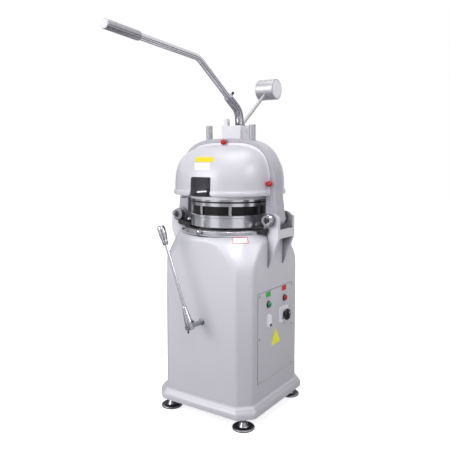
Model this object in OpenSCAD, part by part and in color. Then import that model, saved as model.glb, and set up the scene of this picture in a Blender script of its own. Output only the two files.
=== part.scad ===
// Semi-automatic dough divider and rounder: a hand-lever press head on a floor cabinet that
// holds a motor-driven rounding table. Millimetres, +Z up, front towards -Y, controls on +X,
// origin on the floor under the middle of the cabinet.

/* [Cabinet] */
// Width across the side walls
body_w = 540; // [520:2:570]
// Depth from front wall to rear wall
body_d = 560; // [540:2:600]
// Height of the cabinet above the plinth
body_h = 819; // [790:1:850]
// Flat cut on each upright corner
body_chamfer = 59; // [50:1:70]
// Wall thickness of the cabinet
body_wall = 4; // [3:0.5:6]
// How far the flat crown's edge reaches past the side walls
crown_over = 5; // [2:0.5:10]
// Fall of the conical shoulder from the crown to the upright corners
shoulder_drop = 162; // [140:1:180]

/* [Plinth and feet] */
// Overhang of the plinth beyond the walls
plinth_over = 27; // [20:1:32]
// Height of the plinth
plinth_h = 55; // [48:1:62]
// Wall thickness of the plinth tray
plinth_wall = 10; // [8:1:12]
// Width of the air opening in the plinth's plate
vent_w = 300; // [260:2:320]
// Depth of the air opening in the plinth's plate
vent_d = 110; // [90:1:120]
// Flat cut on each plinth corner
plinth_chamfer = 66; // [58:1:76]
// Clear height under the plinth
foot_h = 63; // [58:1:72]
// Radius of a foot pad
foot_r = 55.5; // [48:0.5:58]
// Distance of each foot in from the cabinet walls
foot_inset = 44; // [38:1:50]
// Radius of a foot stud
stud_r = 9; // [8:0.5:11]

/* [Bowl and table] */
// Distance of the press axis in front of the cabinet's middle
head_offset = 15; // [8:1:20]
// Distance from the side walls in to the bowl flange's inner edge
bowl_margin = 48; // [44:0.5:52]
// Wall thickness of the bowl flange
bowl_wall = 16; // [12:0.5:18]
// Height of the bowl flange on the crown
bowl_h = 21; // [16:0.5:26]
// Orbit radius of the rounding table
orbit = 10; // [7:0.5:12]
// Depth of the moulding plate's top under the bowl flange's top
plate_depth = 22; // [19:0.5:26]
// Thickness of the moulding plate
plate_t = 12; // [9:0.5:15]
// Radius of the eccentric shaft
shaft_r = 20; // [17:0.5:23]
// Radius of the crank pin
crank_r = 15; // [12:0.5:17]

/* [Drive] */
// Groove radius of the large pulley
pulley_r = 85; // [75:1:95]
// Groove radius of the motor pulley
motor_pulley_r = 34; // [28:1:40]
// Distance of the motor axis behind the press axis
motor_behind = 165; // [155:1:175]
// Radius of the motor body
motor_r = 72; // [64:1:78]
// Length of the motor body
motor_l = 220; // [190:2:240]
// Thickness of the belt
belt_t = 8; // [6:0.5:10]

/* [Dividing head] */
// Clear height between the bowl flange and the chamber ring
ring_lift = 11; // [8:0.5:14]
// Height of the chamber ring
ring_h = 51; // [44:1:58]
// Distance from the bowl flange's inner edge in to the chamber ring
ring_gap = 14; // [11:0.5:17]
// Height of the windows in the cage
window_h = 43; // [36:1:50]
// Number of cage posts
cage_posts = 8; // [6:1:10]
// Thickness of the press disc
disc_h = 30; // [26:1:36]
// Thickness of a divider blade
blade_t = 2.5; // [2:0.25:4]
// Spacing of the two guide posts
post_spacing = 270; // [250:2:290]
// Radius of a guide post
post_r = 17; // [15:0.5:19]

/* [Yoke and covers] */
// Width of the yoke from front to back
yoke_w = 80; // [72:1:92]
// Distance of the yoke's front face in front of the press axis
yoke_ahead = 48; // [44:1:54]
// Distance of the pivot pins outside the cabinet's side walls
pin_out = 10; // [8:0.5:14]
// Height of the pivot pins above the bowl flange
pin_up = 54; // [50:1:60]
// Radius of a pivot pin
pin_r = 16; // [13:0.5:18]
// Half width of a yoke arm
arm_r = 33; // [31:0.5:38]
// Height of the top of the yoke above the pivot pins
yoke_h = 404; // [390:2:420]
// How far the covers lie inside the yoke's outline
cover_inset = 38; // [34:1:44]
// Depth of the front cover from the yoke to its furthest point
cover_d = 231; // [218:1:246]
// Depth of the rear cover from the yoke to its furthest point
rear_cover_d = 258; // [240:1:270]
// Wall thickness of the covers
cover_wall = 4; // [3:0.5:5]

/* [Press lever] */
// Number of teeth on the pinion
pinion_teeth = 16; // [16:1:16]
// Tooth module of pinion and rack
tooth_module = 4; // [4:0.5:4]
// Width of the hub block
hub_w = 118; // [110:1:126]
// Height of the hub block
hub_h = 69; // [64:1:76]
// Radius of the lever socket
socket_r = 23; // [21:0.5:25]
// Radius of the lever tube
tube_r = 16; // [14:0.5:18]
// Wall thickness of the lever tube
tube_wall = 4; // [3:0.5:6]
// Length of the lever from the bend to the tip
lever_l = 602; // [552:5:642]
// Radius of the counterweight
weight_r = 58.5; // [50:0.5:66]
// Length of the counterweight
weight_l = 112; // [100:1:126]

/* [Controls] */
// Width of the control panel
panel_w = 354; // [336:2:370]
// Height of the control panel
panel_h = 450; // [430:2:470]
// Thickness of the control panel
panel_t = 2; // [1.5:0.5:4]
// Radius of a push button
button_r = 15; // [13:0.5:17]
// Travel of a push button
button_travel = 4; // [3:0.5:5]
// Radius of the rotary switch knob
knob_r = 32; // [28:0.5:36]

/* [Rounding lever] */
// Height of the rounding lever's shaft above the plinth
swing_up = 387; // [360:1:420]
// Length of the rounding lever's rod
swing_rod_l = 312; // [290:2:340]
// Radius of the rounding lever's shaft
swing_shaft_r = 12; // [10:0.5:14]
// Distance of the rounding lever in front of the cabinet
swing_out = 95; // [85:1:110]

/* [Hidden] */
// Running clearance of a shaft that turns or slides in its bore
run_gap = 0.05;
// Clearance of a piece that is seated and doesn't move
seat_gap = 0.02;
// Clear space between moving pieces that don't touch
air_gap = 0.3;
// Overlap of cutting shapes past the faces that they cut
cut = 2;
$fn = 96;

// Heights up the cabinet
plinth_top = foot_h + plinth_h;
body_top = plinth_top + body_h;
bowl_top = body_top + bowl_h;
head_y = -head_offset;
crown_r = body_w / 2 + crown_over;
bowl_r = body_w / 2 - bowl_margin;
ring_r = bowl_r - ring_gap;
vent_y = -body_d / 2 + 56;
foot_x = body_w / 2 - foot_inset;
foot_y = body_d / 2 - foot_inset;

// Heights up the dividing head
ring_z = bowl_top + ring_lift;
cage_z = ring_z + ring_h;
cage_foot_h = 13;
cage_head_h = 16;
cage_neck_h = 5;
cage_top = cage_z + cage_foot_h + window_h + cage_head_h;
disc_z = cage_top + cage_neck_h;
disc_top = disc_z + disc_h;
cage_r = ring_r - 3;
chamber_wall = 11;
chamber_r = ring_r - chamber_wall;
grid_r = chamber_r - 1;

// Yoke, pivots and brackets
pin_x = body_w / 2 + pin_out;
pin_z = bowl_top + pin_up;
yoke_front = head_y - yoke_ahead;
yoke_back = yoke_front + yoke_w;
yoke_top = pin_z + yoke_h;
yoke_half = pin_x + 15;
spring_z = pin_z + 140;
bridge_t = 59;
yoke_power = 3;
cheek_t = 22;
cheek_gap = 1;
cheek_front = yoke_front - cheek_gap - cheek_t;
collar_l = 46;
collar_r = 22;
cheek_back = yoke_back + collar_l + 2 * cheek_gap + cheek_t;
trough_out = 48;
left_trough_out = 62;
arch_in = 34;
trough_wall = 14;
trough_floor_z = body_top - 17;
trough_top_z = body_top + 27;
pin_head_r = 31;
pin_head_l = 27;

// Covers over the yoke
cover_half = yoke_half - cover_inset;
rim_z = disc_top + 3;
bead_h = 33;
cover_spring_z = rim_z + bead_h;
cover_top = yoke_top - 34;
lip_w = 12;
lip_t = 4;
cover_plan_power = 2.3;
cover_side_power = 3.3;
cover_front_power = 2.36;
cover_steps = 26;
cover_rows = 10;
window_left = -50;
window_right = 69;
window_top = rim_z + 94;
window_corner = 8;

// Pinion, rack and lever
pressure_angle = 20;
pitch_r = pinion_teeth * tooth_module / 2;
base_r = pitch_r * cos(pressure_angle);
addendum = 0.8 * tooth_module;
dedendum = 1.05 * tooth_module;
tooth_pitch = PI * tooth_module;
backlash = 0.5;
pinion_shaft_r = 14;
pinion_w = 44;
hub_front = -8;
hub_d = 90;
hub_slot = 52;
hub_front_wall = 14;
ear_w = 24;
ear_d = 26;
ear_h = 34;
rack_back = hub_front + hub_front_wall + air_gap;
rack_t = 13;
rack_w = 30;
rack_pitch_y = rack_back + rack_t + dedendum;
pivot_y = rack_pitch_y + pitch_r;
pivot_z = yoke_top + 46;
rack_top = pivot_z + 42;
stem_y = pivot_y + 16;
stem_top = pivot_z + 55;
stem_bend_r = 80;
stem_turn = 57;
socket_l = 85;
socket_depth = 60;
tube_l1 = 300;
tube_bend_r = 110;
tube_turn = 29;
grip_l = 154;
grip_r = tube_r + 3;
grip_cap_r = tube_r + 5.5;
grip_cap_l = 38;
weight_arm_r = 9;
weight_y = 323;
weight_z = 245;
lug_t = 28;

// Press column and crosshead
column_r = 30;
crosshead_z = disc_top + 155;
crosshead_t = 22;

// Rounding table and its drive
plate_top = bowl_top - plate_depth;
plate_r = bowl_r - orbit - 5;
table_t = 18;
table_r = plate_r - 17;
table_z = plate_top - plate_t - table_t;
table_hub_r = 44;
table_hub_h = 30;
bearing_h = 20;
bearing_r = shaft_r + 22;
table_bearing_r = crank_r + 16;
web_t = 16;
crank_gap = 2;
crank_web_z = table_z - table_hub_h - crank_gap - web_t;
carrier_top = crank_web_z - 6;
carrier_l = 92;
carrier_r = bearing_r + 14;
carrier_wall = 8;
carrier_pan_r = bowl_r + 6;
carrier_seat_r = bowl_r + 32;
shaft_bottom = carrier_top - carrier_l - 200;
belt_z = shaft_bottom + 18;
belt_w = 12;
groove_w = belt_w + 2 * air_gap + 1.4;
pulley_flange = 5;
motor_y = head_y + motor_behind;
motor_shaft_r = 12;
stand_top = belt_z - 22;
stand_t = 10;
stand_half = motor_r + 20;
stand_d = 2 * motor_r + 16;
stand_foot = 32;

// Front rounding lever
swing_x = 8;
swing_z = plinth_top + swing_up;
swing_y = -body_d / 2 - swing_out;
swing_lean = 20.8;
swing_socket_l = 100;
swing_socket_drop = 16;
swing_grip_l = 100;
bush_r = 15;
bush_flange_r = 17;
bush_flange_t = 4;
shaft_inside = 62;

// Controls on the right wall
wall_x = body_w / 2;
panel_face = wall_x + panel_t;
panel_z = plinth_top + 88;
panel_edge = 27;
button_y = [-79, 87];
button_z = panel_z + 382;
bezel_r = button_r + 3;
bezel_h = 6;
switch_y = 74;
switch_z = panel_z + 299;
switch_w = 78;
switch_t = 9;
lock_y = -80;
lock_z = panel_z + 300;
lock_w = 26;
lock_l = 68;
lock_t = 15;
lock_cylinder_r = 8;
screw_inset = 12;
screw_r = 5;

module ring(inner_r, outer_r, h) {
    difference() {
        cylinder(r = outer_r, h = h);
        translate([0, 0, -cut]) cylinder(r = inner_r, h = h + 2 * cut);
    }
}

// A plan outline with flat corner cuts
module octagon(w, d, c) {
    polygon([for (s = [[1, -1], [1, 1], [-1, 1], [-1, -1]]) each
        (s[0] == s[1]
            ? [[s[0] * w / 2, s[1] * (d / 2 - c)], [s[0] * (w / 2 - c), s[1] * d / 2]]
            : [[s[0] * (w / 2 - c), s[1] * d / 2], [s[0] * w / 2, s[1] * (d / 2 - c)]])]);
}

// An outline in X and Z made into a slab of width w that starts at y
module xz_slab(y, w) {
    translate([0, y + w, 0]) rotate([90, 0, 0]) linear_extrude(w) children();
}

// An outline in Y and Z made into a slab of width w that starts at x
module yz_slab(x, w) {
    translate([x, 0, 0]) rotate([90, 0, 90]) linear_extrude(w) children();
}

// A rod along +X, +Y or from one point of a Y-Z plane to another
module x_rod(r, l) {
    rotate([0, 90, 0]) cylinder(r = r, h = l);
}

module y_rod(r, l) {
    rotate([-90, 0, 0]) cylinder(r = r, h = l);
}

module yz_rod(from, to, r) {
    step = to - from;
    translate([0, from[0], from[1]]) rotate([atan2(-step[0], step[1]), 0, 0])
        cylinder(r = r, h = norm(step));
}

// A bend in a Y-Z plane that runs a little way into the straights at its ends
module yz_bend(centre, bend_r, start, turn, r) {
    lap = 1.5;
    thinner = 0.2;
    translate([0, centre[0], centre[1]]) rotate([90, 0, 90]) rotate([0, 0, start - lap])
        rotate_extrude(angle = turn + 2 * lap) translate([bend_r, 0]) circle(r = r - thinner);
}

module both_sides() {
    children();
    mirror([1, 0, 0]) children();
}

module at_feet() {
    for (x = [-foot_x, foot_x], y = [-foot_y, foot_y]) translate([x, y, 0]) children();
}

function signed_power(v, p) = sign(v) * pow(abs(v), p);

// A point of a superellipse with half axes a and b
function super_point(a, b, power, t) =
    [a * signed_power(cos(t), 2 / power), b * signed_power(sin(t), 2 / power)];

// Plinth: a cast tray with a soft upper edge, open below, with a boss over each foot
module plinth_plan(inset) {
    octagon(body_w + 2 * (plinth_over - inset), body_d + 2 * (plinth_over - inset),
        plinth_chamfer - 0.586 * inset);
}

module base_plinth() {
    edge = 22;
    boss_r = stud_r + 18;
    color("gainsboro") difference() {
        union() {
            difference() {
                hull() {
                    for (s = [[0, 0], [0, plinth_h - edge], [0.12, -0.45], [0.4, -0.15], [0.85, 0]])
                        translate([0, 0, foot_h + (s[1] > 0 || s[0] == 0 ? s[1] : plinth_h + s[1] * edge)
                            - (s[1] > 0 || s[0] > 0 ? 0.02 : 0)])
                            linear_extrude(0.02) plinth_plan(s[0] * (plinth_over - 3));
                }
                translate([0, 0, foot_h - cut])
                    linear_extrude(plinth_h - plinth_wall + cut) plinth_plan(plinth_wall + 4);
            }
            at_feet() translate([0, 0, foot_h]) cylinder(r = boss_r, h = plinth_h - plinth_wall + 1);
        }
        at_feet() translate([0, 0, foot_h - cut]) cylinder(r = stud_r + seat_gap, h = 32 + cut);
        translate([-vent_w / 2, vent_y, plinth_top - plinth_wall - cut])
            cube([vent_w, vent_d, plinth_wall + 2 * cut]);
    }
}

// Cabinet: an upright octagon cut by a cone, hollow, open below
module cabinet_form(inset) {
    corner_r = norm([body_w / 2, body_d / 2 - body_chamfer]) + 6;
    slope = (corner_r - crown_r) / shoulder_drop;
    top = body_top - inset;
    skin = inset * sqrt(1 + slope * slope);
    crown = crown_r - skin + inset * slope;
    below = 1.25 * shoulder_drop;
    intersection() {
        translate([0, 0, plinth_top - (inset > 0 ? cut : 0)])
            linear_extrude(body_h + 2 * cut)
            octagon(body_w - 2 * inset, body_d - 2 * inset, body_chamfer - 0.586 * inset);
        rotate_extrude() polygon([
            [0, plinth_top - 3 * cut], [body_d, plinth_top - 3 * cut], [body_d, top - below],
            [crown + below * slope, top - below], [crown, top], [0, top]
        ]);
    }
}

module body_shell() {
    color("silver") difference() {
        cabinet_form(0);
        cabinet_form(body_wall);
        translate([0, head_y, body_top - body_wall - cut])
            cylinder(r = bowl_r + 4, h = body_wall + 2 * cut);
        translate([wall_x - body_wall - cut, -panel_w / 2 + panel_edge, panel_z + panel_edge])
            cube([body_wall + 2 * cut, panel_w - 2 * panel_edge, panel_h - 2 * panel_edge]);
        translate([-panel_w / 2 + panel_edge, body_d / 2 - body_wall - cut, panel_z + panel_edge])
            cube([panel_w - 2 * panel_edge, body_wall + 2 * cut, panel_h - 2 * panel_edge]);
        translate([swing_x, -body_d / 2 - cut, swing_z])
            y_rod(bush_r + seat_gap, body_wall + 2 * cut);
        both_sides() bracket_bolt_places() x_rod(bolt_r + seat_gap, body_wall + 2 * cut);
    }
}

// Bowl flange: the rim round the moulding plate, with a spigot into the crown
module bowl_flange() {
    outer = bowl_r + bowl_wall;
    edge = 5;
    color("gainsboro") translate([0, head_y, 0]) rotate_extrude() union() {
        polygon([
            [bowl_r, body_top - 15], [bowl_r + 4 - seat_gap, body_top - 15],
            [bowl_r + 4 - seat_gap, body_top], [outer, body_top], [outer, bowl_top - edge],
            [outer - edge, bowl_top], [bowl_r, bowl_top]
        ]);
        translate([outer - edge, bowl_top - edge]) circle(r = edge);
    }
}

// Chrome catch on the front of the bowl flange
module front_catch() {
    half_w = 20;
    half_h = 11.5;
    color("lightgray") translate([0, head_y, body_top + half_h + 1]) rotate([0, 0, -96.5])
        translate([bowl_r + bowl_wall - 3, 0, 0]) difference() {
            union() {
                yz_slab(0, 17) polygon([
                    [-half_w, 0], [-half_w + 7, -half_h], [half_w - 7, -half_h], [half_w, 0],
                    [half_w - 7, half_h], [-half_w + 7, half_h]
                ]);
                translate([17, 0, 0]) rotate([0, 90, 0]) cylinder(r1 = half_h - 1, r2 = 7, h = 4);
            }
            translate([-bowl_r - bowl_wall + 3, 0, -bowl_h])
                cylinder(r = bowl_r + bowl_wall + seat_gap, h = 2 * bowl_h);
        }
}

// Head brackets: two cheeks that carry the pin, a floor and a low outer wall between them,
// and a tapering rib under each cheek
bolt_r = 6;

module bracket_bolt_places() {
    for (y = [cheek_front + cheek_t / 2, cheek_back - cheek_t / 2])
        translate([wall_x - body_wall - cut, y, trough_floor_z - 34]) children();
}

module cheek_outline(out) {
    polygon([
        [wall_x, body_top - shoulder_drop], [wall_x + 6, body_top - shoulder_drop],
        [pin_x + out, trough_floor_z], [pin_x + out, pin_z + 12],
        [pin_x + 20, pin_z + 32], [pin_x - 33, pin_z], [wall_x - 22, body_top], [wall_x, body_top]
    ]);
    translate([pin_x + 2, pin_z]) circle(r = 35);
}

module bracket_form(out) {
    inside = cheek_back - cheek_front - 2 * cheek_t;
    difference() {
        union() {
            xz_slab(cheek_front, cheek_t) cheek_outline(out);
            xz_slab(cheek_back - cheek_t, cheek_t) cheek_outline(out);
            translate([wall_x, cheek_front + cheek_t - 1, trough_floor_z])
                cube([pin_out + out, inside + 2, 12]);
            translate([pin_x + out - trough_wall, cheek_front + cheek_t - 1, trough_floor_z])
                cube([trough_wall, inside + 2, trough_top_z - trough_floor_z]);
        }
        translate([pin_x, cheek_front - cut, pin_z])
            y_rod(pin_r + seat_gap, cheek_back - cheek_front + 2 * cut);
        bracket_bolt_places() x_rod(bolt_r + seat_gap, body_wall + cut + 22);
    }
}

module left_bracket() {
    color("gainsboro") mirror([1, 0, 0]) bracket_form(left_trough_out);
}

module right_bracket() {
    color("gainsboro") bracket_form(trough_out);
}

module bracket_bolts() {
    head_l = 8;
    color("dimgray") both_sides() bracket_bolt_places() {
        translate([cut - head_l, 0, 0]) rotate([0, 90, 0]) cylinder(r = 10, h = head_l, $fn = 6);
        translate([cut - 1, 0, 0]) x_rod(bolt_r, body_wall + 20);
    }
}

// Pivot pins of the head: a shank through both cheeks and a round head with a hexagon socket
module pivot_pins() {
    color("lightgray") both_sides() translate([pin_x, cheek_front, pin_z]) difference() {
        union() {
            y_rod(pin_r, cheek_back - cheek_front + 5);
            translate([0, yoke_back + cheek_gap - cheek_front, 0]) y_rod(collar_r, collar_l);
            translate([0, -pin_head_l, 0]) y_rod(pin_head_r, pin_head_l);
            translate([0, -pin_head_l - 4, 0]) rotate([-90, 0, 0])
                cylinder(r1 = pin_head_r - 5, r2 = pin_head_r, h = 4);
        }
        translate([0, -pin_head_l - 4 - cut, 0]) rotate([-90, 0, 0])
            cylinder(r = 17, h = 14 + cut, $fn = 6);
    }
}

// Control panel, rear panel and their screws
module panel_holes() {
    for (y = button_y) translate([wall_x - cut, y, button_z])
        x_rod(button_r + air_gap, panel_t + 2 * cut);
    translate([wall_x - cut, switch_y, switch_z]) x_rod(7, panel_t + 2 * cut);
    translate([wall_x - cut, lock_y, lock_z - lock_l / 2 + lock_w / 2])
        x_rod(lock_cylinder_r + air_gap, panel_t + 2 * cut);
}

module control_panel() {
    color("silver") difference() {
        translate([wall_x, -panel_w / 2, panel_z]) cube([panel_t, panel_w, panel_h]);
        panel_holes();
    }
}

module rear_panel() {
    color("silver") translate([-panel_w / 2, body_d / 2, panel_z]) difference() {
        cube([panel_w, panel_t, panel_h]);
        translate([panel_w * 0.8, -cut, panel_h * 0.15]) y_rod(gland_r + seat_gap, panel_t + 2 * cut);
    }
}

module cover_screws() {
    head_h = 2.5;
    color("lightgray") {
        for (y = [-1, 1], k = [0 : 2])
            translate([panel_face, y * (panel_w / 2 - screw_inset),
                panel_z + screw_inset + k * (panel_h / 2 - screw_inset)])
                rotate([0, 90, 0]) cylinder(r1 = screw_r, r2 = screw_r * 0.7, h = head_h);
        for (x = [-1, 1], k = [0 : 2])
            translate([x * (panel_w / 2 - screw_inset), body_d / 2 + panel_t,
                panel_z + screw_inset + k * (panel_h / 2 - screw_inset)])
                rotate([-90, 0, 0]) cylinder(r1 = screw_r, r2 = screw_r * 0.7, h = head_h);
    }
}

// Cable gland on the rear panel
gland_r = 10;

module cable_gland() {
    color("dimgray") translate([panel_w * 0.3, body_d / 2 + panel_t, panel_z + panel_h * 0.15])
        difference() {
            union() {
                translate([0, -panel_t - 8, 0]) y_rod(gland_r, panel_t + 10);
                rotate([-90, 0, 0]) cylinder(r = 15, h = 8, $fn = 6);
                translate([0, 8, 0]) rotate([-90, 0, 0]) cylinder(r1 = 13, r2 = 9, h = 14);
            }
            translate([0, -panel_t - 8 - cut, 0]) y_rod(5, panel_t + 40);
        }
}

// Feet: dished pads and their studs with locknuts
module foot_pads() {
    color("lightgray") at_feet() rotate_extrude() polygon([
        [0, 0], [foot_r - 1, 0], [foot_r, 2], [foot_r, 9], [foot_r - 3, 12], [foot_r - 12, 13],
        [25, 19], [19, 30], [15, 32], [stud_r + seat_gap, 32], [stud_r + seat_gap, 16], [0, 16]
    ]);
}

module foot_studs() {
    nut_h = 14;
    color("lightgray") at_feet() {
        translate([0, 0, 16]) cylinder(r = stud_r, h = foot_h + 14);
        translate([0, 0, foot_h - nut_h]) cylinder(r = stud_r + 7, h = nut_h, $fn = 6);
    }
}

// Push buttons, rotary switch and panel lock
module button_bezels() {
    color("lightgray") for (y = button_y) translate([panel_face, y, button_z])
        rotate([0, 90, 0]) difference() {
            union() {
                cylinder(r = bezel_r, h = bezel_h - 2);
                translate([0, 0, bezel_h - 2]) cylinder(r1 = bezel_r, r2 = bezel_r - 2, h = 2);
            }
            translate([0, 0, -cut]) cylinder(r = button_r + air_gap, h = bezel_h + 2 * cut);
        }
}

module push_button(y) {
    proud = bezel_h + button_travel + 3;
    translate([wall_x - 8, y, button_z]) {
        x_rod(button_r, 8 + panel_t + proud - 3);
        translate([8 + panel_t + proud - 3, 0, 0]) rotate([0, 90, 0])
            cylinder(r1 = button_r, r2 = button_r - 3, h = 3);
    }
}

module start_button() {
    color("seagreen") push_button(button_y[0]);
}

module stop_button() {
    color("firebrick") push_button(button_y[1]);
}

module switch_plate() {
    color("lightgray") translate([panel_face, switch_y, switch_z]) difference() {
        translate([0, -switch_w / 2, -switch_w / 2]) cube([switch_t, switch_w, switch_w]);
        translate([-cut, 0, 0]) x_rod(5 + air_gap, switch_t + 2 * cut);
    }
}

module switch_knob() {
    grip_h = 16;
    base_h = 9;
    color([0.1, 0.1, 0.11]) translate([panel_face + switch_t + air_gap, switch_y, switch_z]) {
        translate([-switch_t - air_gap - 6, 0, 0]) x_rod(5, switch_t + air_gap + 7);
        rotate([0, 90, 0]) cylinder(r1 = knob_r, r2 = knob_r - 3, h = base_h);
        translate([base_h - 1, -7, -knob_r + 6]) cube([grip_h + 1, 14, 2 * knob_r - 12]);
    }
}

module lock_outline(w) {
    translate([0, lock_l / 2 - lock_w / 2]) circle(r = w / 2);
    translate([0, -lock_l / 2 + lock_w / 2]) circle(r = w / 2);
    square([w, lock_l - lock_w], center = true);
}

module panel_lock() {
    color("lightgray") translate([panel_face, lock_y, lock_z]) difference() {
        union() {
            yz_slab(0, lock_t - 4) lock_outline(lock_w);
            yz_slab(0, lock_t) lock_outline(lock_w - 6);
        }
        translate([-cut, 0, -lock_l / 2 + lock_w / 2])
            x_rod(lock_cylinder_r + run_gap, lock_t + 2 * cut);
    }
}

module lock_cylinder() {
    slot = 2;
    color("dimgray") translate([wall_x - 22, lock_y, lock_z - lock_l / 2 + lock_w / 2]) difference() {
        union() {
            x_rod(lock_cylinder_r, 22 + panel_t + lock_t + 2);
            translate([0, -lock_cylinder_r + 1, -6]) cube([4, 38, 12]);
        }
        translate([22 + panel_t + lock_t - 2, -slot / 2, -6]) cube([4 + cut, slot, 12]);
    }
}

// Contact blocks of the buttons and the rotary switch, held on the back of the panel
module contact_blocks() {
    neck = 14;
    color([0.25, 0.25, 0.27]) {
        for (y = button_y) translate([0, y, button_z]) difference() {
            union() {
                translate([wall_x - neck - 42, -18, -22]) cube([42, 36, 44]);
                translate([wall_x - neck - 1, 0, 0]) rotate([0, 90, 0])
                    ring(button_r + air_gap, button_r + 5, neck + 1);
            }
        }
        translate([wall_x - 60, switch_y - 32, switch_z - 32]) difference() {
            cube([60, 64, 64]);
            translate([60 - 12, 32, 32]) x_rod(7, 12 + cut);
        }
    }
}

// Motor: a finned body hung from its stand, with a shaft and a pulley
module motor() {
    fins = 16;
    fin_t = 4;
    cap_l = 46;
    fin_h = 12;
    color([0.45, 0.5, 0.56]) translate([0, motor_y, stand_top - stand_t - motor_l]) difference() {
        union() {
            cylinder(r = motor_r - 7, h = motor_l);
            translate([0, 0, motor_l - 12]) cylinder(r = motor_r, h = 12);
            cylinder(r = motor_r - 2, h = cap_l);
            for (k = [0 : fins - 1]) rotate([0, 0, (k + 0.5) * 360 / fins])
                translate([motor_r - 1 - fin_h, -fin_t / 2, cap_l - 1])
                    cube([fin_h, fin_t, motor_l - cap_l - 10]);
        }
        translate([0, 0, 30]) cylinder(r = motor_shaft_r + run_gap, h = motor_l);
    }
}

module motor_stand() {
    color("dimgray") difference() {
        xz_slab(motor_y - stand_d / 2, stand_d) difference() {
            union() {
                translate([-stand_half, plinth_top]) square([2 * stand_half, stand_top - plinth_top]);
                translate([-stand_half - stand_foot, plinth_top])
                    square([2 * (stand_half + stand_foot), stand_t]);
            }
            translate([-stand_half + stand_t, plinth_top - cut])
                square([2 * (stand_half - stand_t), stand_top - stand_t - plinth_top + cut]);
        }
        translate([0, motor_y, stand_top - stand_t - cut]) cylinder(r = 30, h = stand_t + 2 * cut);
    }
}

module motor_shaft() {
    low = stand_top - stand_t - motor_l + 34;
    color("lightgray") translate([0, motor_y, low])
        cylinder(r = motor_shaft_r, h = belt_z + groove_w / 2 + pulley_flange + 4 - low);
}

module pulley(groove_r, bore_r) {
    h = groove_w + 2 * pulley_flange;
    flange_r = groove_r + belt_t * 0.8;
    translate([0, 0, belt_z - h / 2]) rotate_extrude() polygon([
        [bore_r, 0], [flange_r, 0], [flange_r, pulley_flange], [groove_r, pulley_flange],
        [groove_r, h - pulley_flange], [flange_r, h - pulley_flange], [flange_r, h], [bore_r, h]
    ]);
}

module motor_pulley() {
    color("gray") translate([0, motor_y, 0]) pulley(motor_pulley_r, motor_shaft_r + seat_gap);
}

module drive_pulley() {
    color("gray") translate([0, head_y, 0]) pulley(pulley_r, shaft_r + seat_gap);
}

// Belt: two arcs and their common tangents
module belt_outline(extra) {
    big = pulley_r + extra;
    small = motor_pulley_r + extra;
    lead = acos((big - small) / motor_behind);
    rim = function(c, r, a) [r * sin(a), c + r * cos(a)];
    translate([0, head_y]) circle(r = big);
    translate([0, motor_y]) circle(r = small);
    polygon([
        rim(head_y, big, lead), rim(motor_y, small, lead),
        rim(motor_y, small, -lead), rim(head_y, big, -lead)
    ]);
}

module drive_belt() {
    color([0.12, 0.12, 0.12]) translate([0, 0, belt_z - belt_w / 2]) linear_extrude(belt_w) difference() {
        belt_outline(air_gap + belt_t);
        belt_outline(air_gap);
    }
}

// Eccentric shaft with its crank pin, in two bearings inside the carrier
module eccentric_shaft() {
    color("lightgray") translate([0, head_y, 0]) {
        translate([0, 0, shaft_bottom]) cylinder(r = shaft_r, h = crank_web_z - shaft_bottom + 1);
        translate([0, 0, crank_web_z]) cylinder(r = shaft_r + orbit + 8, h = web_t);
        translate([orbit, 0, crank_web_z + web_t - 1])
            cylinder(r = crank_r, h = 1 + crank_gap + table_hub_h - 4);
    }
}

module shaft_bearings() {
    color("silver") translate([0, head_y, 0])
        for (z = [carrier_top - bearing_h - 4, carrier_top - carrier_l + 4])
            translate([0, 0, z]) ring(shaft_r + run_gap, bearing_r, bearing_h);
}

module bearing_carrier() {
    seat_z = body_top - body_wall;
    foot_z = carrier_top - carrier_l;
    lip = 3;
    color([0.6, 0.62, 0.64]) translate([0, head_y, 0]) difference() {
        rotate_extrude() polygon([
            [shaft_r + 6, foot_z - 4], [carrier_r, foot_z - 4], [carrier_r, carrier_top - 14],
            [carrier_pan_r + carrier_wall, carrier_top - 14], [carrier_pan_r + carrier_wall, seat_z - 14],
            [carrier_seat_r, seat_z - 14], [carrier_seat_r, seat_z], [carrier_pan_r, seat_z],
            [carrier_pan_r, carrier_top - 6], [carrier_r, carrier_top - 6], [carrier_r, carrier_top],
            [shaft_r + 6, carrier_top]
        ]);
        translate([0, 0, foot_z + 4 - seat_gap])
            cylinder(r = bearing_r + seat_gap, h = bearing_h + seat_gap);
        translate([0, 0, foot_z + 4]) cylinder(r = bearing_r - lip, h = carrier_l - 8);
        translate([0, 0, carrier_top - bearing_h - 4])
            cylinder(r = bearing_r + seat_gap, h = bearing_h + seat_gap);
    }
}

// Rounding table on the crank pin, with the moulding plate on top
module table_bearing() {
    color("silver") translate([orbit, head_y, table_z - table_hub_h + 4])
        ring(crank_r + run_gap, table_bearing_r, bearing_h);
}

module rounding_table() {
    color([0.7, 0.71, 0.73]) translate([orbit, head_y, 0]) difference() {
        union() {
            translate([0, 0, table_z]) cylinder(r = table_r, h = table_t);
            translate([0, 0, table_z - table_hub_h]) cylinder(r = table_hub_r, h = table_hub_h + 1);
        }
        translate([0, 0, table_z - table_hub_h - cut])
            cylinder(r = crank_r + 3, h = table_hub_h + cut + 2);
        translate([0, 0, table_z - table_hub_h + 4 - seat_gap])
            cylinder(r = table_bearing_r + seat_gap, h = bearing_h + 2 * seat_gap);
    }
}

module moulding_plate() {
    edge = 4;
    color("whitesmoke") translate([orbit, head_y, plate_top - plate_t]) {
        cylinder(r = plate_r, h = plate_t - edge);
        translate([0, 0, plate_t - edge]) cylinder(r1 = plate_r, r2 = plate_r - edge, h = edge);
    }
}

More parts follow.
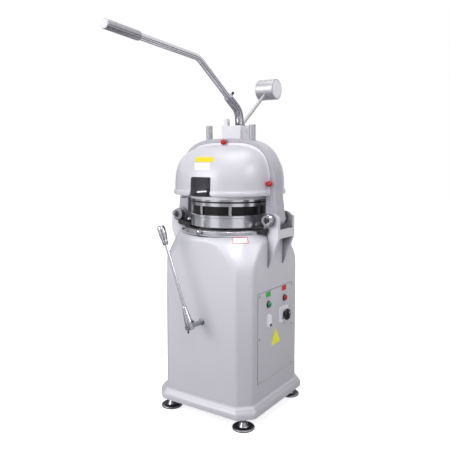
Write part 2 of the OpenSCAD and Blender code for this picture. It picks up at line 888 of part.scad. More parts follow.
// Front rounding lever: bush in the wall, shaft, tapered socket, rod and grip, and an inner arm
module lever_bush() {
    wall_y = -body_d / 2;
    color("lightgray") translate([swing_x, wall_y, swing_z]) difference() {
        union() {
            translate([0, -bush_flange_t, 0]) y_rod(bush_flange_r, bush_flange_t);
            y_rod(bush_r, body_wall + 24);
        }
        translate([0, -bush_flange_t - cut, 0]) y_rod(swing_shaft_r + run_gap, body_wall + 40);
    }
}

module rounding_shaft() {
    front = swing_y - 24;
    color("lightgray") translate([swing_x, front, swing_z])
        y_rod(swing_shaft_r, -body_d / 2 + shaft_inside - front);
}

// The lever's own axis, from its shaft upward
module on_swing_axis() {
    translate([swing_x, swing_y, swing_z]) rotate([0, -swing_lean, 0]) children();
}

rod_r = 8;

module rounding_socket() {
    wide = 20;
    color("lightgray") difference() {
        on_swing_axis() rotate_extrude() polygon([
            [0, -swing_socket_drop], [wide - 3, -swing_socket_drop], [wide, -swing_socket_drop + 3],
            [wide, 20], [11, swing_socket_l - 4], [9.5, swing_socket_l], [0, swing_socket_l]
        ]);
        on_swing_axis() translate([0, 0, swing_socket_l - 40])
            cylinder(r = rod_r + seat_gap, h = 40 + cut);
        translate([swing_x, swing_y - 40, swing_z]) y_rod(swing_shaft_r + seat_gap, 80);
    }
}

module rounding_rod() {
    color("lightgray") on_swing_axis() translate([0, 0, swing_socket_l - 40])
        cylinder(r = rod_r, h = swing_rod_l + 40 + 50);
}

module rounding_grip() {
    color("lightgray") on_swing_axis() translate([0, 0, swing_socket_l + swing_rod_l]) difference() {
        rotate_extrude() polygon([
            [0, 0], [12, 0], [13.5, 4], [15.5, 16], [15.5, 20], [14.5, 22], [14.5, 25], [16, 27],
            [20, 60], [20.5, 80], [18.5, 93], [13, swing_grip_l], [0, swing_grip_l]
        ]);
        translate([0, 0, -cut]) cylinder(r = rod_r + seat_gap, h = 50 + cut + seat_gap);
    }
}

module clutch_arm() {
    reach = 78;
    arm_t = 14;
    color("gray") translate([swing_x, -body_d / 2 + shaft_inside - arm_t - 4, swing_z]) difference() {
        union() {
            y_rod(24, arm_t);
            translate([0, 0, -reach]) y_rod(13, arm_t);
            xz_slab(0, arm_t) polygon([[-20, 0], [20, 0], [12, -reach], [-12, -reach]]);
        }
        translate([0, -cut, 0]) y_rod(swing_shaft_r + seat_gap, arm_t + 2 * cut);
        translate([0, -cut, -reach]) y_rod(6, arm_t + 2 * cut);
    }
}

// Yoke: a deep arch with two arms that stand on the pivot pins
module yoke_arch() {
    outer = yoke_top - spring_z;
    inner_half = pin_x - arch_in;
    inner = outer - bridge_t;
    polygon(concat(
        [for (t = [0 : 6 : 180]) super_point(yoke_half, outer, yoke_power, t) + [0, spring_z]],
        [for (t = [180 : -6 : 0]) super_point(inner_half, inner, yoke_power, t) + [0, spring_z]]
    ));
}

module yoke_arm() {
    polygon([
        [pin_x - arch_in, spring_z + 1], [pin_x - arm_r, pin_z], [pin_x + arm_r, pin_z],
        [yoke_half, spring_z + 1]
    ]);
    translate([pin_x, pin_z]) circle(r = arm_r);
}

module yoke() {
    lock_slot = pin_r + 6;
    color("gainsboro") difference() {
        union() {
            xz_slab(yoke_front, yoke_w) yoke_arch();
            xz_slab(yoke_front, yoke_w) yoke_arm();
            xz_slab(yoke_front, yoke_w) mirror([1, 0]) yoke_arm();
            translate([-hub_w / 2 - 8, yoke_front + yoke_w / 2, yoke_top - lug_t])
                cube([hub_w + 16, hub_front + hub_d + 6 - yoke_front - yoke_w / 2, lug_t]);
        }
        translate([pin_x, yoke_front - cut, pin_z]) y_rod(pin_r + run_gap, yoke_w + 2 * cut);
        translate([-pin_x, yoke_front - cut, pin_z]) y_rod(pin_r + air_gap, yoke_w + 2 * cut);
        xz_slab(yoke_front - cut, yoke_w + 2 * cut) translate([-pin_x, pin_z]) polygon([
            [-pin_r - air_gap, 0], [pin_r + air_gap, 0], [lock_slot + 2, -arm_r - cut],
            [-lock_slot - 2, -arm_r - cut]
        ]);
        for (x = [-1, 1]) translate([x * post_spacing / 2, head_y, spring_z])
            cylinder(r = post_r + run_gap, h = yoke_top - spring_z + cut);
        translate([-rack_w / 2 - air_gap, rack_back - air_gap, spring_z])
            cube([rack_w + 2 * air_gap, rack_pitch_y + addendum + 2 * air_gap - rack_back,
                yoke_top - spring_z + cut]);
    }
}

// Covers: half of a rounded dome with a beaded rim, lofted as a closed shell
function cover_row(half, depth, rise, j, extra) =
    let (side = 90 * j / cover_rows,
        up = pow(sin(side), 2 / cover_side_power),
        across = pow(1 - pow(up, cover_side_power), 1 / cover_side_power),
        forward = pow(1 - pow(up, cover_front_power), 1 / cover_front_power))
    [for (i = [0 : cover_steps])
        let (p = super_point(half * across + extra, depth * forward + extra, cover_plan_power,
            180 + 180 * i / cover_steps))
        [p[0], i == 0 || i == cover_steps ? 0 : p[1], cover_spring_z + rise * up]];

function lowered(row, dz) = [for (p = row) [p[0], p[1], rim_z + dz]];

module half_cover(depth) {
    rise = cover_top - cover_spring_z;
    bead = [[0, 2.5], [4, 6], [18, 6], [25, 2]];
    outer = concat(
        [for (b = bead) each lowered(cover_row(cover_half, depth, rise, 0, b[1]), b[0])],
        [for (j = [0 : cover_rows - 1]) each cover_row(cover_half, depth, rise, j, 0)],
        [[0, 0, cover_top]]);
    in_half = cover_half - cover_wall;
    in_depth = depth - cover_wall;
    in_rise = rise - cover_wall;
    inner = concat(
        [for (b = bead) each lowered(cover_row(in_half, in_depth, in_rise, 0, 0), b[0])],
        [for (j = [0 : cover_rows - 1]) each cover_row(in_half, in_depth, in_rise, j, 0)],
        [[0, 0, cover_top - cover_wall]]);
    rows = len(bead) + cover_rows;
    wide = cover_steps + 1;
    far = len(outer);
    pole = far - 1;
    last = rows - 1;
    function quad(a, b, c, d) = [[a, b, c], [a, c, d]];
    skin = [for (j = [0 : rows - 2], i = [0 : cover_steps - 1])
        let (a = j * wide + i) each concat(
            quad(a, a + wide, a + wide + 1, a + 1),
            quad(far + a, far + a + 1, far + a + wide + 1, far + a + wide))];
    tip = [for (i = [0 : cover_steps - 1]) let (a = last * wide + i) each
        [[a, pole, a + 1], [far + a, far + a + 1, far + pole]]];
    rim = [for (i = [0 : cover_steps - 1]) each quad(i, i + 1, far + i + 1, far + i)];
    seam = [for (j = [0 : rows - 1])
        let (a = j * wide, b = j == last ? pole : a + wide,
            c = a + cover_steps, d = j == last ? pole : c + wide)
        each concat(quad(far + a, far + b, b, a), quad(c, d, far + d, far + c))];
    polyhedron(concat(outer, inner), concat(skin, tip, rim, seam));
}

module cover_window() {
    low = rim_z - 30;
    translate([window_left, low]) square([window_right - window_left, window_top - window_corner - low]);
    translate([window_left + window_corner, low])
        square([window_right - window_left - 2 * window_corner, window_top - low]);
    for (x = [window_left + window_corner, window_right - window_corner])
        translate([x, window_top - window_corner]) circle(r = window_corner);
}

// Lip: an upright flange along the edge of a cover, with a notch for each knob's stem
module cover_lip() {
    rise = cover_top - cover_spring_z;
    step = 6;
    difference() {
        polygon(concat(
            [for (t = [0 : step : 180])
                super_point(cover_half + lip_w, rise + lip_w, cover_side_power, t) + [0, cover_spring_z]],
            [for (t = [180 : -step : 0])
                super_point(cover_half - cover_wall / 2, rise - cover_wall / 2, cover_side_power, t)
                    + [0, cover_spring_z]]
        ));
        at_knobs() circle(r = knob_stem_r + air_gap);
    }
}

module front_cover() {
    color("gainsboro") difference() {
        union() {
            translate([0, yoke_front, 0]) half_cover(cover_d);
            xz_slab(yoke_front - lip_t, lip_t) cover_lip();
        }
        xz_slab(yoke_front - cover_d - 20, cover_d * 0.6) cover_window();
    }
}

module rear_cover() {
    notch_w = hub_w + 16 + 2;
    color("gainsboro") difference() {
        union() {
            translate([0, yoke_back, 0]) mirror([0, 1, 0]) half_cover(rear_cover_d);
            xz_slab(yoke_back, lip_t) cover_lip();
        }
        translate([-notch_w / 2, yoke_back - cut, yoke_top - lug_t - 12])
            cube([notch_w, hub_front + hub_d + 7 - yoke_back + cut, lug_t + 20]);
    }
}

// Red knobs that hold the front cover's lip on the yoke
knob_stem_r = 6;
cover_knob_r = 14.5;

module at_knobs() {
    translate([0, cover_top + cover_knob_r + 1]) children();
    for (x = [-1, 1]) translate([x * (cover_half + cover_knob_r + 1), cover_spring_z + 27]) children();
}

module cover_knobs() {
    ball = cover_knob_r;
    color("crimson") translate([0, yoke_front, 0]) rotate([90, 0, 0]) at_knobs() rotate_extrude() polygon([
        [0, 0], [knob_stem_r, 0], [knob_stem_r, lip_t + air_gap], [knob_stem_r + 4, lip_t + air_gap],
        [knob_stem_r + 3, 9], [ball - 3, 11], [ball, 16], [ball, 20], [ball - 3, 26], [5, 29], [0, 29]
    ]);
}

// Hub block: a channel on top of the yoke that carries the pinion shaft
module hub_block() {
    color("gainsboro") translate([0, hub_front, yoke_top]) difference() {
        union() {
            translate([-hub_w / 2, 0, 0]) cube([hub_w, hub_d, hub_h]);
            xz_slab(0, ear_d) translate([-hub_slot / 2, hub_h]) polygon([
                [-ear_w - 2, -1], [0, -1], [0, ear_h], [-ear_w + 6, ear_h], [-ear_w - 1, 0]
            ]);
        }
        translate([-hub_slot / 2, hub_front_wall, -cut])
            cube([hub_slot, hub_d, hub_h + 2 * cut]);
        translate([-hub_w / 2 - cut, pivot_y - hub_front, pivot_z - yoke_top])
            x_rod(pinion_shaft_r + run_gap, hub_w + 2 * cut);
    }
}

module pinion_shaft() {
    color("lightgray") translate([-hub_w / 2 - 4, pivot_y, pivot_z]) x_rod(pinion_shaft_r, hub_w + 8);
}

// Pinion and rack teeth on a 20 degree involute
function involute(a) =
    base_r * [cos(a) + a * PI / 180 * sin(a), sin(a) - a * PI / 180 * cos(a)];

function turned(p, a) = [p[0] * cos(a) - p[1] * sin(a), p[0] * sin(a) + p[1] * cos(a)];

module pinion_outline() {
    tip_r = pitch_r + addendum;
    root_r = pitch_r - dedendum;
    flank_steps = 4;
    last_roll = sqrt(pow(tip_r / base_r, 2) - 1) * 180 / PI;
    half = 90 / pinion_teeth - backlash / 2 / pitch_r * 180 / PI
        + tan(pressure_angle) * 180 / PI - pressure_angle;
    flank = concat([[root_r, 0]], [for (k = [0 : flank_steps]) involute(last_roll * k / flank_steps)]);
    tooth = concat(
        [for (p = flank) turned(p, -half)],
        [for (k = [len(flank) - 1 : -1 : 0]) turned([flank[k][0], -flank[k][1]], half)]);
    polygon([for (k = [0 : pinion_teeth - 1], p = tooth) turned(p, k * 360 / pinion_teeth)]);
}

// Lever socket: toothed hub, upright stem, bend and a straight socket for the tube
stem_centre = [stem_y - stem_bend_r, stem_top];
socket_dir = [-sin(stem_turn), cos(stem_turn)];
socket_start = stem_centre + stem_bend_r * [cos(stem_turn), sin(stem_turn)];
socket_end = socket_start + socket_l * socket_dir;
weight_reach = norm([weight_y, weight_z]);
weight_dir = [weight_y, weight_z] / weight_reach;
pivot = [pivot_y, pivot_z];

module lever_socket() {
    boss_r = weight_arm_r + 6;
    color("lightgray") difference() {
        union() {
            translate([0, pivot_y, pivot_z]) yz_slab(-pinion_w / 2, pinion_w) pinion_outline();
            yz_rod([stem_y, pivot_z - 4], [stem_y, stem_top], socket_r);
            yz_bend(stem_centre, stem_bend_r, 0, stem_turn, socket_r);
            yz_rod(socket_start, socket_end, socket_r);
            yz_rod(pivot + 20 * weight_dir, pivot + 58 * weight_dir, boss_r);
        }
        translate([-hub_w, pivot_y, pivot_z]) x_rod(pinion_shaft_r + seat_gap, 2 * hub_w);
        yz_rod(socket_end - socket_depth * socket_dir, socket_end + cut * socket_dir, tube_r + seat_gap);
        yz_rod(pivot + 34 * weight_dir, pivot + 60 * weight_dir, weight_arm_r + seat_gap);
        clamp_screw_form(seat_gap);
    }
}

// Lever tube: two straights and a bend, with a grip sleeve and an end cap
tube_start = socket_end - socket_depth * socket_dir;
bend_start = tube_start + (socket_depth + tube_l1 - tube_bend_r * tan(tube_turn / 2)) * socket_dir;
bend_centre = bend_start + tube_bend_r * [-socket_dir[1], socket_dir[0]];
grip_turn = stem_turn + tube_turn;
grip_dir = [-sin(grip_turn), cos(grip_turn)];
bend_end = bend_centre + tube_bend_r * [cos(grip_turn), sin(grip_turn)];
tube_end = bend_end + (lever_l - tube_bend_r * tan(tube_turn / 2) - 12) * grip_dir;

module tube_form(r, past) {
    yz_rod(tube_start - past * socket_dir, bend_start, r);
    yz_bend(bend_centre, tube_bend_r, stem_turn, tube_turn, r);
    yz_rod(bend_end, tube_end + past * grip_dir, r);
}

module lever_tube() {
    color("lightgray") difference() {
        tube_form(tube_r, 0);
        tube_form(tube_r - tube_wall, cut);
        clamp_screw_form(seat_gap);
    }
}

module lever_grip() {
    cap_start = tube_end - (grip_cap_l - 12) * grip_dir;
    sleeve_start = cap_start - grip_l * grip_dir;
    color("gainsboro") difference() {
        union() {
            yz_rod(sleeve_start, cap_start + grip_dir, grip_r);
            translate([0, cap_start[0], cap_start[1]]) rotate([grip_turn, 0, 0]) rotate_extrude() polygon([
                [0, 0], [grip_cap_r - 4, 0], [grip_cap_r, 6], [grip_cap_r, 22], [grip_cap_r - 5, 32],
                [grip_cap_r - 14, grip_cap_l], [0, grip_cap_l]
            ]);
        }
        yz_rod(sleeve_start - cut * grip_dir, tube_end + seat_gap * grip_dir, tube_r + seat_gap);
    }
}

clamp_at = socket_start + 60 * socket_dir;
clamp_dir = [socket_dir[1], -socket_dir[0]];

module clamp_screw_form(extra) {
    yz_rod(clamp_at + (tube_r - 5) * clamp_dir, clamp_at + (socket_r + 17) * clamp_dir, 4 + extra);
}

module lever_clamp_screw() {
    ball = clamp_at + (socket_r + 22) * clamp_dir;
    color([0.2, 0.2, 0.22]) {
        clamp_screw_form(0);
        translate([0, ball[0], ball[1]]) sphere(r = 7.5);
    }
}

module counterweight_arm() {
    color("lightgray") yz_rod(pivot + 34.5 * weight_dir, pivot + (weight_reach - 14) * weight_dir, weight_arm_r);
}

module counterweight() {
    edge = 4;
    centre = pivot + weight_reach * weight_dir;
    color("silver") difference() {
        translate([-weight_l / 2, centre[0], centre[1]]) rotate([0, 90, 0]) rotate_extrude() polygon([
            [0, 0], [weight_r - edge, 0], [weight_r, edge], [weight_r, weight_l - edge],
            [weight_r - edge, weight_l], [0, weight_l]
        ]);
        yz_rod(centre - (weight_r + 20) * weight_dir, centre - (14 - seat_gap) * weight_dir,
            weight_arm_r + seat_gap);
    }
}

// Press: guide posts, rack, column, disc and the dividing chamber below it
module guide_posts() {
    edge = 3;
    top = yoke_top + 71;
    color("lightgray") for (x = [-1, 1]) translate([x * post_spacing / 2, head_y, disc_top]) {
        cylinder(r = post_r, h = top - edge - disc_top);
        translate([0, 0, top - edge - disc_top]) cylinder(r1 = post_r, r2 = post_r - edge, h = edge);
    }
}

module rack_outline() {
    half_pitch = tooth_pitch / 4 - backlash / 4;
    root_y = rack_pitch_y - dedendum;
    tip_y = rack_pitch_y + addendum;
    root_half = half_pitch + dedendum * tan(pressure_angle);
    tip_half = half_pitch - addendum * tan(pressure_angle);
    difference() {
        union() {
            translate([rack_back, crosshead_z]) square([rack_t, rack_top - crosshead_z]);
            for (k = [-3 : 3]) translate([0, pivot_z + (k + 0.5) * tooth_pitch]) polygon([
                [root_y - 1, -root_half], [root_y, -root_half], [tip_y, -tip_half], [tip_y, tip_half],
                [root_y, root_half], [root_y - 1, root_half]
            ]);
        }
        translate([rack_back - cut, rack_top]) square([4 * rack_t, 4 * rack_t]);
    }
}

module press_rack() {
    color("gray") {
        yz_slab(-rack_w / 2, rack_w) rack_outline();
        translate([-column_r - 10, head_y - column_r - 4, crosshead_z])
            cube([2 * column_r + 20, rack_back + rack_t - head_y + column_r + 4, crosshead_t]);
    }
}

module press_column() {
    color("lightgray") translate([0, head_y, 0]) {
        translate([0, 0, disc_top]) cylinder(r = column_r, h = crosshead_z - disc_top);
        translate([0, 0, disc_top]) cylinder(r1 = column_r + 26, r2 = column_r + 18, h = 14);
    }
}

// Press disc with the groove that the lock handle's collar turns in
collar_z = disc_z + disc_h * 0.42;
collar_h = 12;
collar_in = cage_r - 10;
collar_out = cage_r + 4;

module press_disc() {
    edge = 3;
    color("silver") translate([0, head_y, 0]) rotate_extrude() polygon([
        [0, disc_z], [cage_r - edge, disc_z], [cage_r, disc_z + edge], [cage_r, collar_z - air_gap],
        [collar_in - run_gap, collar_z - air_gap], [collar_in - run_gap, collar_z + collar_h + air_gap],
        [cage_r, collar_z + collar_h + air_gap], [cage_r, disc_top - edge], [cage_r - edge, disc_top],
        [0, disc_top]
    ]);
}

module lock_handle() {
    rod = 58;
    color("lightgray") translate([0, head_y, collar_z]) {
        ring(collar_in, collar_out, collar_h);
        rotate([0, 0, -145]) translate([collar_out - 3, 0, collar_h / 2]) rotate([0, 90, 0])
            rotate_extrude() polygon([
                [0, 0], [8, 0], [8, 10], [5, 14], [5, 22], [9, 28], [11, 38], [11, 48], [7, 56],
                [0, rod]
            ]);
    }
}

// Cage: a foot ring, posts with windows between them and a head ring
module cage() {
    post_angle = 15 / cage_r * 180 / PI;
    window = 360 / cage_posts - post_angle;
    view_turn = -56.2;
    color("lightgray") translate([0, head_y, 0]) difference() {
        rotate_extrude() polygon([
            [chamber_r, cage_z], [ring_r + 4, cage_z], [ring_r + 4, cage_z + cage_foot_h - 2],
            [ring_r + 2, cage_z + cage_foot_h], [cage_r, cage_z + cage_foot_h], [cage_r, cage_top],
            [cage_r - 12, cage_top], [cage_r - 12, disc_z], [cage_r - 32, disc_z],
            [cage_r - 32, cage_top - 6], [chamber_r, cage_top - 6]
        ]);
        for (k = [0 : cage_posts - 1])
            rotate([0, 0, view_turn + post_angle / 2 + k * 360 / cage_posts])
                translate([0, 0, cage_z + cage_foot_h]) rotate_extrude(angle = window)
                    translate([chamber_r - 4, 0]) square([cage_r - chamber_r + 8, window_h]);
    }
}

module chamber_ring() {
    edge = 2;
    color("lightgray") translate([0, head_y, 0]) rotate_extrude() polygon([
        [chamber_r, ring_z], [ring_r - edge, ring_z], [ring_r, ring_z + edge], [ring_r, cage_z - edge],
        [ring_r - edge, cage_z], [chamber_r, cage_z]
    ]);
}

// Divider blades: three rings of cells, with 6, 12 and 18 cells from the middle outward
module knife_grid() {
    cells = [6, 12, 18];
    low = ring_z + 3;
    h = disc_z - low;
    hub = 14;
    color("silver") translate([0, head_y, low]) {
        cylinder(r = hub, h = h);
        for (k = [0 : 2]) {
            near = k == 0 ? hub - 1 : grid_r * k / 3 - blade_t / 2;
            far = grid_r * (k + 1) / 3;
            ring(far - blade_t, far, k == 2 ? h - cage_neck_h - cage_head_h : h);
            for (i = [0 : cells[k] - 1]) rotate([0, 0, i * 360 / cells[k]])
                translate([near, -blade_t / 2, 0])
                    cube([far - blade_t / 2 - near, blade_t, k == 2 ? h - cage_neck_h - cage_head_h : h]);
        }
    }
}

base_plinth();
body_shell();
bowl_flange();
front_catch();
left_bracket();
right_bracket();
bracket_bolts();
pivot_pins();
control_panel();
rear_panel();
cover_screws();
foot_pads();
foot_studs();
button_bezels();
start_button();
stop_button();
switch_plate();
switch_knob();
panel_lock();
lock_cylinder();
contact_blocks();
cable_gland();
motor();
motor_stand();
motor_shaft();
motor_pulley();
drive_belt();
drive_pulley();
eccentric_shaft();
shaft_bearings();
bearing_carrier();
table_bearing();
rounding_table();
moulding_plate();
lever_bush();
rounding_shaft();
rounding_socket();
rounding_rod();
rounding_grip();
clutch_arm();
yoke();
front_cover();
rear_cover();
cover_knobs();
hub_block();
pinion_shaft();
lever_socket();
lever_tube();
lever_grip();
lever_clamp_screw();
counterweight_arm();
counterweight();
guide_posts();
press_rack();
press_column();
press_disc();
lock_handle();
cage();
chamber_ring();
knife_grid();
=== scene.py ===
import math

import bmesh
import bpy
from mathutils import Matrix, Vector


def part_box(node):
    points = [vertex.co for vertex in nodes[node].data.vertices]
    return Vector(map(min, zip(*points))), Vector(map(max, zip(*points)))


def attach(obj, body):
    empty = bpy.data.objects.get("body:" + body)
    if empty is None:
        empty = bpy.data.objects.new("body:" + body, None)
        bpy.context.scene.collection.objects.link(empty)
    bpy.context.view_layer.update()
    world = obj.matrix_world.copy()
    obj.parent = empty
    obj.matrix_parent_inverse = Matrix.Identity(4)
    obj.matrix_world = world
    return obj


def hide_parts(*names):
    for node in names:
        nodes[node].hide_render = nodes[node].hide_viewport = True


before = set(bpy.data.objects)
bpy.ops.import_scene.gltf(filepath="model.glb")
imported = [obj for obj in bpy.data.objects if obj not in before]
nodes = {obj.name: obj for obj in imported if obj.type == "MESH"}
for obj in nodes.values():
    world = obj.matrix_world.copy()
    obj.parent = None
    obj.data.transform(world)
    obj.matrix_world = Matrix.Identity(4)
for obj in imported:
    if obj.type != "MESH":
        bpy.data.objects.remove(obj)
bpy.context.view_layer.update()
MM = 0.001

# Sizes of the construction, in millimetres
PLINTH_BASE = 63
PLINTH_TOP = 118
BODY_TOP = 937
BODY_HALF = (270, 280)
BODY_CHAMFER = 59
PLINTH_HALF = (297, 307)
PLINTH_CHAMFER = 66
CROWN_R = 275
CROWN_DROP = 162
CROWN_SPREAD = 79.9
CROWN_ROUND = 36
CROWN_TUCK = 27
CROWN_POWER = 0.88
WALL = 4
HEAD_Y = -15
OPENING_R = 226
RIM_Z = 1130
SPRING_Z = 1163
COVER_TOP = 1382
COVER_HALF_W = 257
FRONT_DEPTH = 231
REAR_DEPTH = 258
SEAM_FRONT = -63
SEAM_REAR = 17
FOOT_X = 226
FOOT_Y = 236
FOOT_R = 55.5
PANEL_X = 272
SWITCH_X = 281.4
SWITCH_Y = 74
SWITCH_Z = 505
PIN_X = 280
PIN_Z = 1012
DOME_PLATE_LEAN = 0.37
DOME_PLATE_Z = 1289
DOME_PLATE_GAP = 0.2
COLLAR_Z = 1109.6
COLLAR_H = 12
COLLAR_R = 209

# Powers of the rounded curves of the dome: across, forward and in plan
ACROSS_POWER = 3.3
FORWARD_POWER = 2.36
PLAN_POWER = 2.3

# Radius of a turned form where it closes on its axis
TIP = 0.01

# Sockets of a colour Mix node
MIX_FACTOR = 0
MIX_A = 6
MIX_B = 7
MIX_RESULT = 2


def srgb(*levels):
    """Linear colour from 0-255 screen levels."""
    out = []
    for level in levels:
        c = level / 255.0
        out.append(c / 12.92 if c <= 0.04045 else ((c + 0.055) / 1.055) ** 2.4)
    return out


# Materials

def surface(name, colour, metallic=0.0, roughness=0.4, spread=0.06, rough_spread=0.06, grain=900.0,
            bump=0.02, patch=9.0, coat=0.0, stretch=(1.0, 1.0, 1.0), specular=0.5):
    """Principled surface: broad patches in colour, and a fine grain in roughness and relief."""
    mat = bpy.data.materials.new(name)
    mat.use_nodes = True
    tree = mat.node_tree
    bsdf = tree.nodes["Principled BSDF"]
    bsdf.inputs["Metallic"].default_value = metallic
    bsdf.inputs["Specular IOR Level"].default_value = specular
    bsdf.inputs["Coat Weight"].default_value = coat
    bsdf.inputs["Coat Roughness"].default_value = 0.12
    coords = tree.nodes.new("ShaderNodeTexCoord")
    mapping = tree.nodes.new("ShaderNodeMapping")
    mapping.inputs["Scale"].default_value = stretch
    tree.links.new(coords.outputs["Object"], mapping.inputs["Vector"])

    broad = tree.nodes.new("ShaderNodeTexNoise")
    broad.inputs["Scale"].default_value = patch
    broad.inputs["Detail"].default_value = 4.0
    tree.links.new(coords.outputs["Object"], broad.inputs["Vector"])

    fine = tree.nodes.new("ShaderNodeTexNoise")
    fine.inputs["Scale"].default_value = grain
    fine.inputs["Detail"].default_value = 2.0
    tree.links.new(mapping.outputs["Vector"], fine.inputs["Vector"])

    tint = tree.nodes.new("ShaderNodeMix")
    tint.data_type = "RGBA"
    tint.inputs[MIX_A].default_value = (*[c * (1 - spread) for c in colour], 1)
    tint.inputs[MIX_B].default_value = (*[min(1.0, c * (1 + spread)) for c in colour], 1)
    tree.links.new(broad.outputs["Fac"], tint.inputs[MIX_FACTOR])
    tree.links.new(tint.outputs[MIX_RESULT], bsdf.inputs["Base Color"])

    rough = tree.nodes.new("ShaderNodeMapRange")
    rough.inputs["To Min"].default_value = max(0.02, roughness - rough_spread)
    rough.inputs["To Max"].default_value = min(1.0, roughness + rough_spread)
    tree.links.new(fine.outputs["Fac"], rough.inputs["Value"])
    tree.links.new(rough.outputs["Result"], bsdf.inputs["Roughness"])

    if bump == 0.0:
        return mat
    relief = tree.nodes.new("ShaderNodeBump")
    relief.inputs["Strength"].default_value = bump
    relief.inputs["Distance"].default_value = 0.001
    tree.links.new(fine.outputs["Fac"], relief.inputs["Height"])
    tree.links.new(relief.outputs["Normal"], bsdf.inputs["Normal"])
    return mat


def shade_hollows(mat, reach, dark):
    """Painted shade: darker colour where other surfaces are close by, in the hollows and corners where
    shade falls.
    """
    tree = mat.node_tree
    base = tree.nodes["Principled BSDF"].inputs["Base Color"]
    paint = base.links[0].from_socket
    near = tree.nodes.new("ShaderNodeAmbientOcclusion")
    near.inputs["Distance"].default_value = reach * MM
    open_part = tree.nodes.new("ShaderNodeMapRange")
    open_part.inputs["From Min"].default_value = 0.45
    open_part.inputs["From Max"].default_value = 0.92
    tree.links.new(near.outputs["AO"], open_part.inputs["Value"])
    mix = tree.nodes.new("ShaderNodeMix")
    mix.data_type = "RGBA"
    mix.inputs[MIX_A].default_value = (*dark, 1)
    tree.links.new(open_part.outputs["Result"], mix.inputs[MIX_FACTOR])
    tree.links.new(paint, mix.inputs[MIX_B])
    tree.links.new(mix.outputs[MIX_RESULT], base)


# Numbers after each colour: metallic, roughness, colour spread, roughness spread, grain scale, bump,
# patch scale, coat
MATS = {
    "silver_paint": surface("silver_paint", srgb(204, 203, 212), 0.1, 0.38, 0.02, 0.05, 700, 0.02, 5, 0.05),
    "chrome": surface("chrome", srgb(194, 194, 201), 1.0, 0.16, 0.03, 0.03, 500, 0.0, 12),
    "steel": surface("steel", srgb(178, 178, 184), 1.0, 0.26, 0.05, 0.08, 260, 0.03, 14,
                     stretch=(1, 1, 14)),
    "alloy": surface("alloy", srgb(196, 196, 202), 0.95, 0.3, 0.05, 0.08, 320, 0.04, 10),
    "dark_iron": surface("dark_iron", srgb(74, 76, 80), 0.7, 0.5, 0.12, 0.1, 240, 0.12, 18),
    "motor_paint": surface("motor_paint", srgb(70, 84, 104), 0.0, 0.42, 0.06, 0.06, 420, 0.06, 12),
    "stand_paint": surface("stand_paint", srgb(92, 95, 100), 0.0, 0.5, 0.06, 0.06, 420, 0.06, 12),
    "white_plastic": surface("white_plastic", srgb(236, 236, 232), 0.0, 0.4, 0.02, 0.05, 500, 0.02, 10),
    "grey_plastic": surface("grey_plastic", srgb(224, 225, 230), 0.0, 0.38, 0.02, 0.05, 600, 0.02, 16),
    "black_plastic": surface("black_plastic", srgb(24, 24, 26), 0.0, 0.36, 0.15, 0.06, 700, 0.03, 20),
    "red_plastic": surface("red_plastic", srgb(186, 6, 20), 0.0, 0.32, 0.05, 0.05, 500, 0.015, 16, 0.05),
    "green_plastic": surface("green_plastic", srgb(6, 122, 76), 0.0, 0.3, 0.05, 0.05, 500, 0.015, 16, 0.2),
    "belt_rubber": surface("belt_rubber", srgb(34, 33, 33), 0.0, 0.7, 0.1, 0.08, 380, 0.1, 20),
}

# Nodes by the material slot that they keep
SLOT_NODES = {
    "silver_paint": "base_plinth body_shell left_bracket right_bracket control_panel rear_panel yoke "
                    "front_cover rear_cover hub_block counterweight",
    "chrome": "bowl_flange front_catch pivot_pins cover_screws foot_pads foot_studs button_bezels "
              "panel_lock rounding_socket rounding_rod rounding_grip lever_socket lever_tube lever_grip "
              "guide_posts lock_handle cage chamber_ring",
    "steel": "bracket_bolts lock_cylinder motor_shaft eccentric_shaft shaft_bearings table_bearing "
             "lever_bush rounding_shaft pinion_shaft counterweight_arm press_rack press_column",
    "alloy": "rounding_table press_disc knife_grid",
    "dark_iron": "motor_pulley drive_pulley bearing_carrier clutch_arm",
    "motor_paint": "motor",
    "stand_paint": "motor_stand",
    "white_plastic": "moulding_plate",
    "grey_plastic": "switch_plate",
    "black_plastic": "switch_knob contact_blocks cable_gland lever_clamp_screw",
    "red_plastic": "stop_button cover_knobs",
    "green_plastic": "start_button",
    "belt_rubber": "drive_belt",
}
for slot_name, listed in SLOT_NODES.items():
    for node_name in listed.split():
        data = nodes[node_name].data
        data.materials.clear()
        data.materials.append(MATS[slot_name])

# Finishes of single pieces, in the same order of numbers
SATIN = surface("satin_steel", srgb(164, 164, 171), 1.0, 0.27, 0.03, 0.04, 420, 0.0, 12)
FOOT_STEEL = surface("foot_steel", srgb(146, 146, 152), 1.0, 0.2, 0.03, 0.03, 420, 0.0, 12)
POLISHED = surface("polished_steel", srgb(172, 172, 179), 1.0, 0.19, 0.03, 0.03, 420, 0.0, 12)
TUBE_STEEL = surface("tube_steel", srgb(204, 204, 210), 1.0, 0.19, 0.03, 0.03, 420, 0.0, 12)
BRUSHED = surface("brushed_steel", srgb(184, 184, 191), 1.0, 0.2, 0.04, 0.05, 260, 0.0, 12,
                  stretch=(1, 1, 14))
YOKE_PAINT = surface("yoke_paint", srgb(184, 183, 192), 0.0, 0.4, 0.02, 0.05, 700, 0.02, 5)
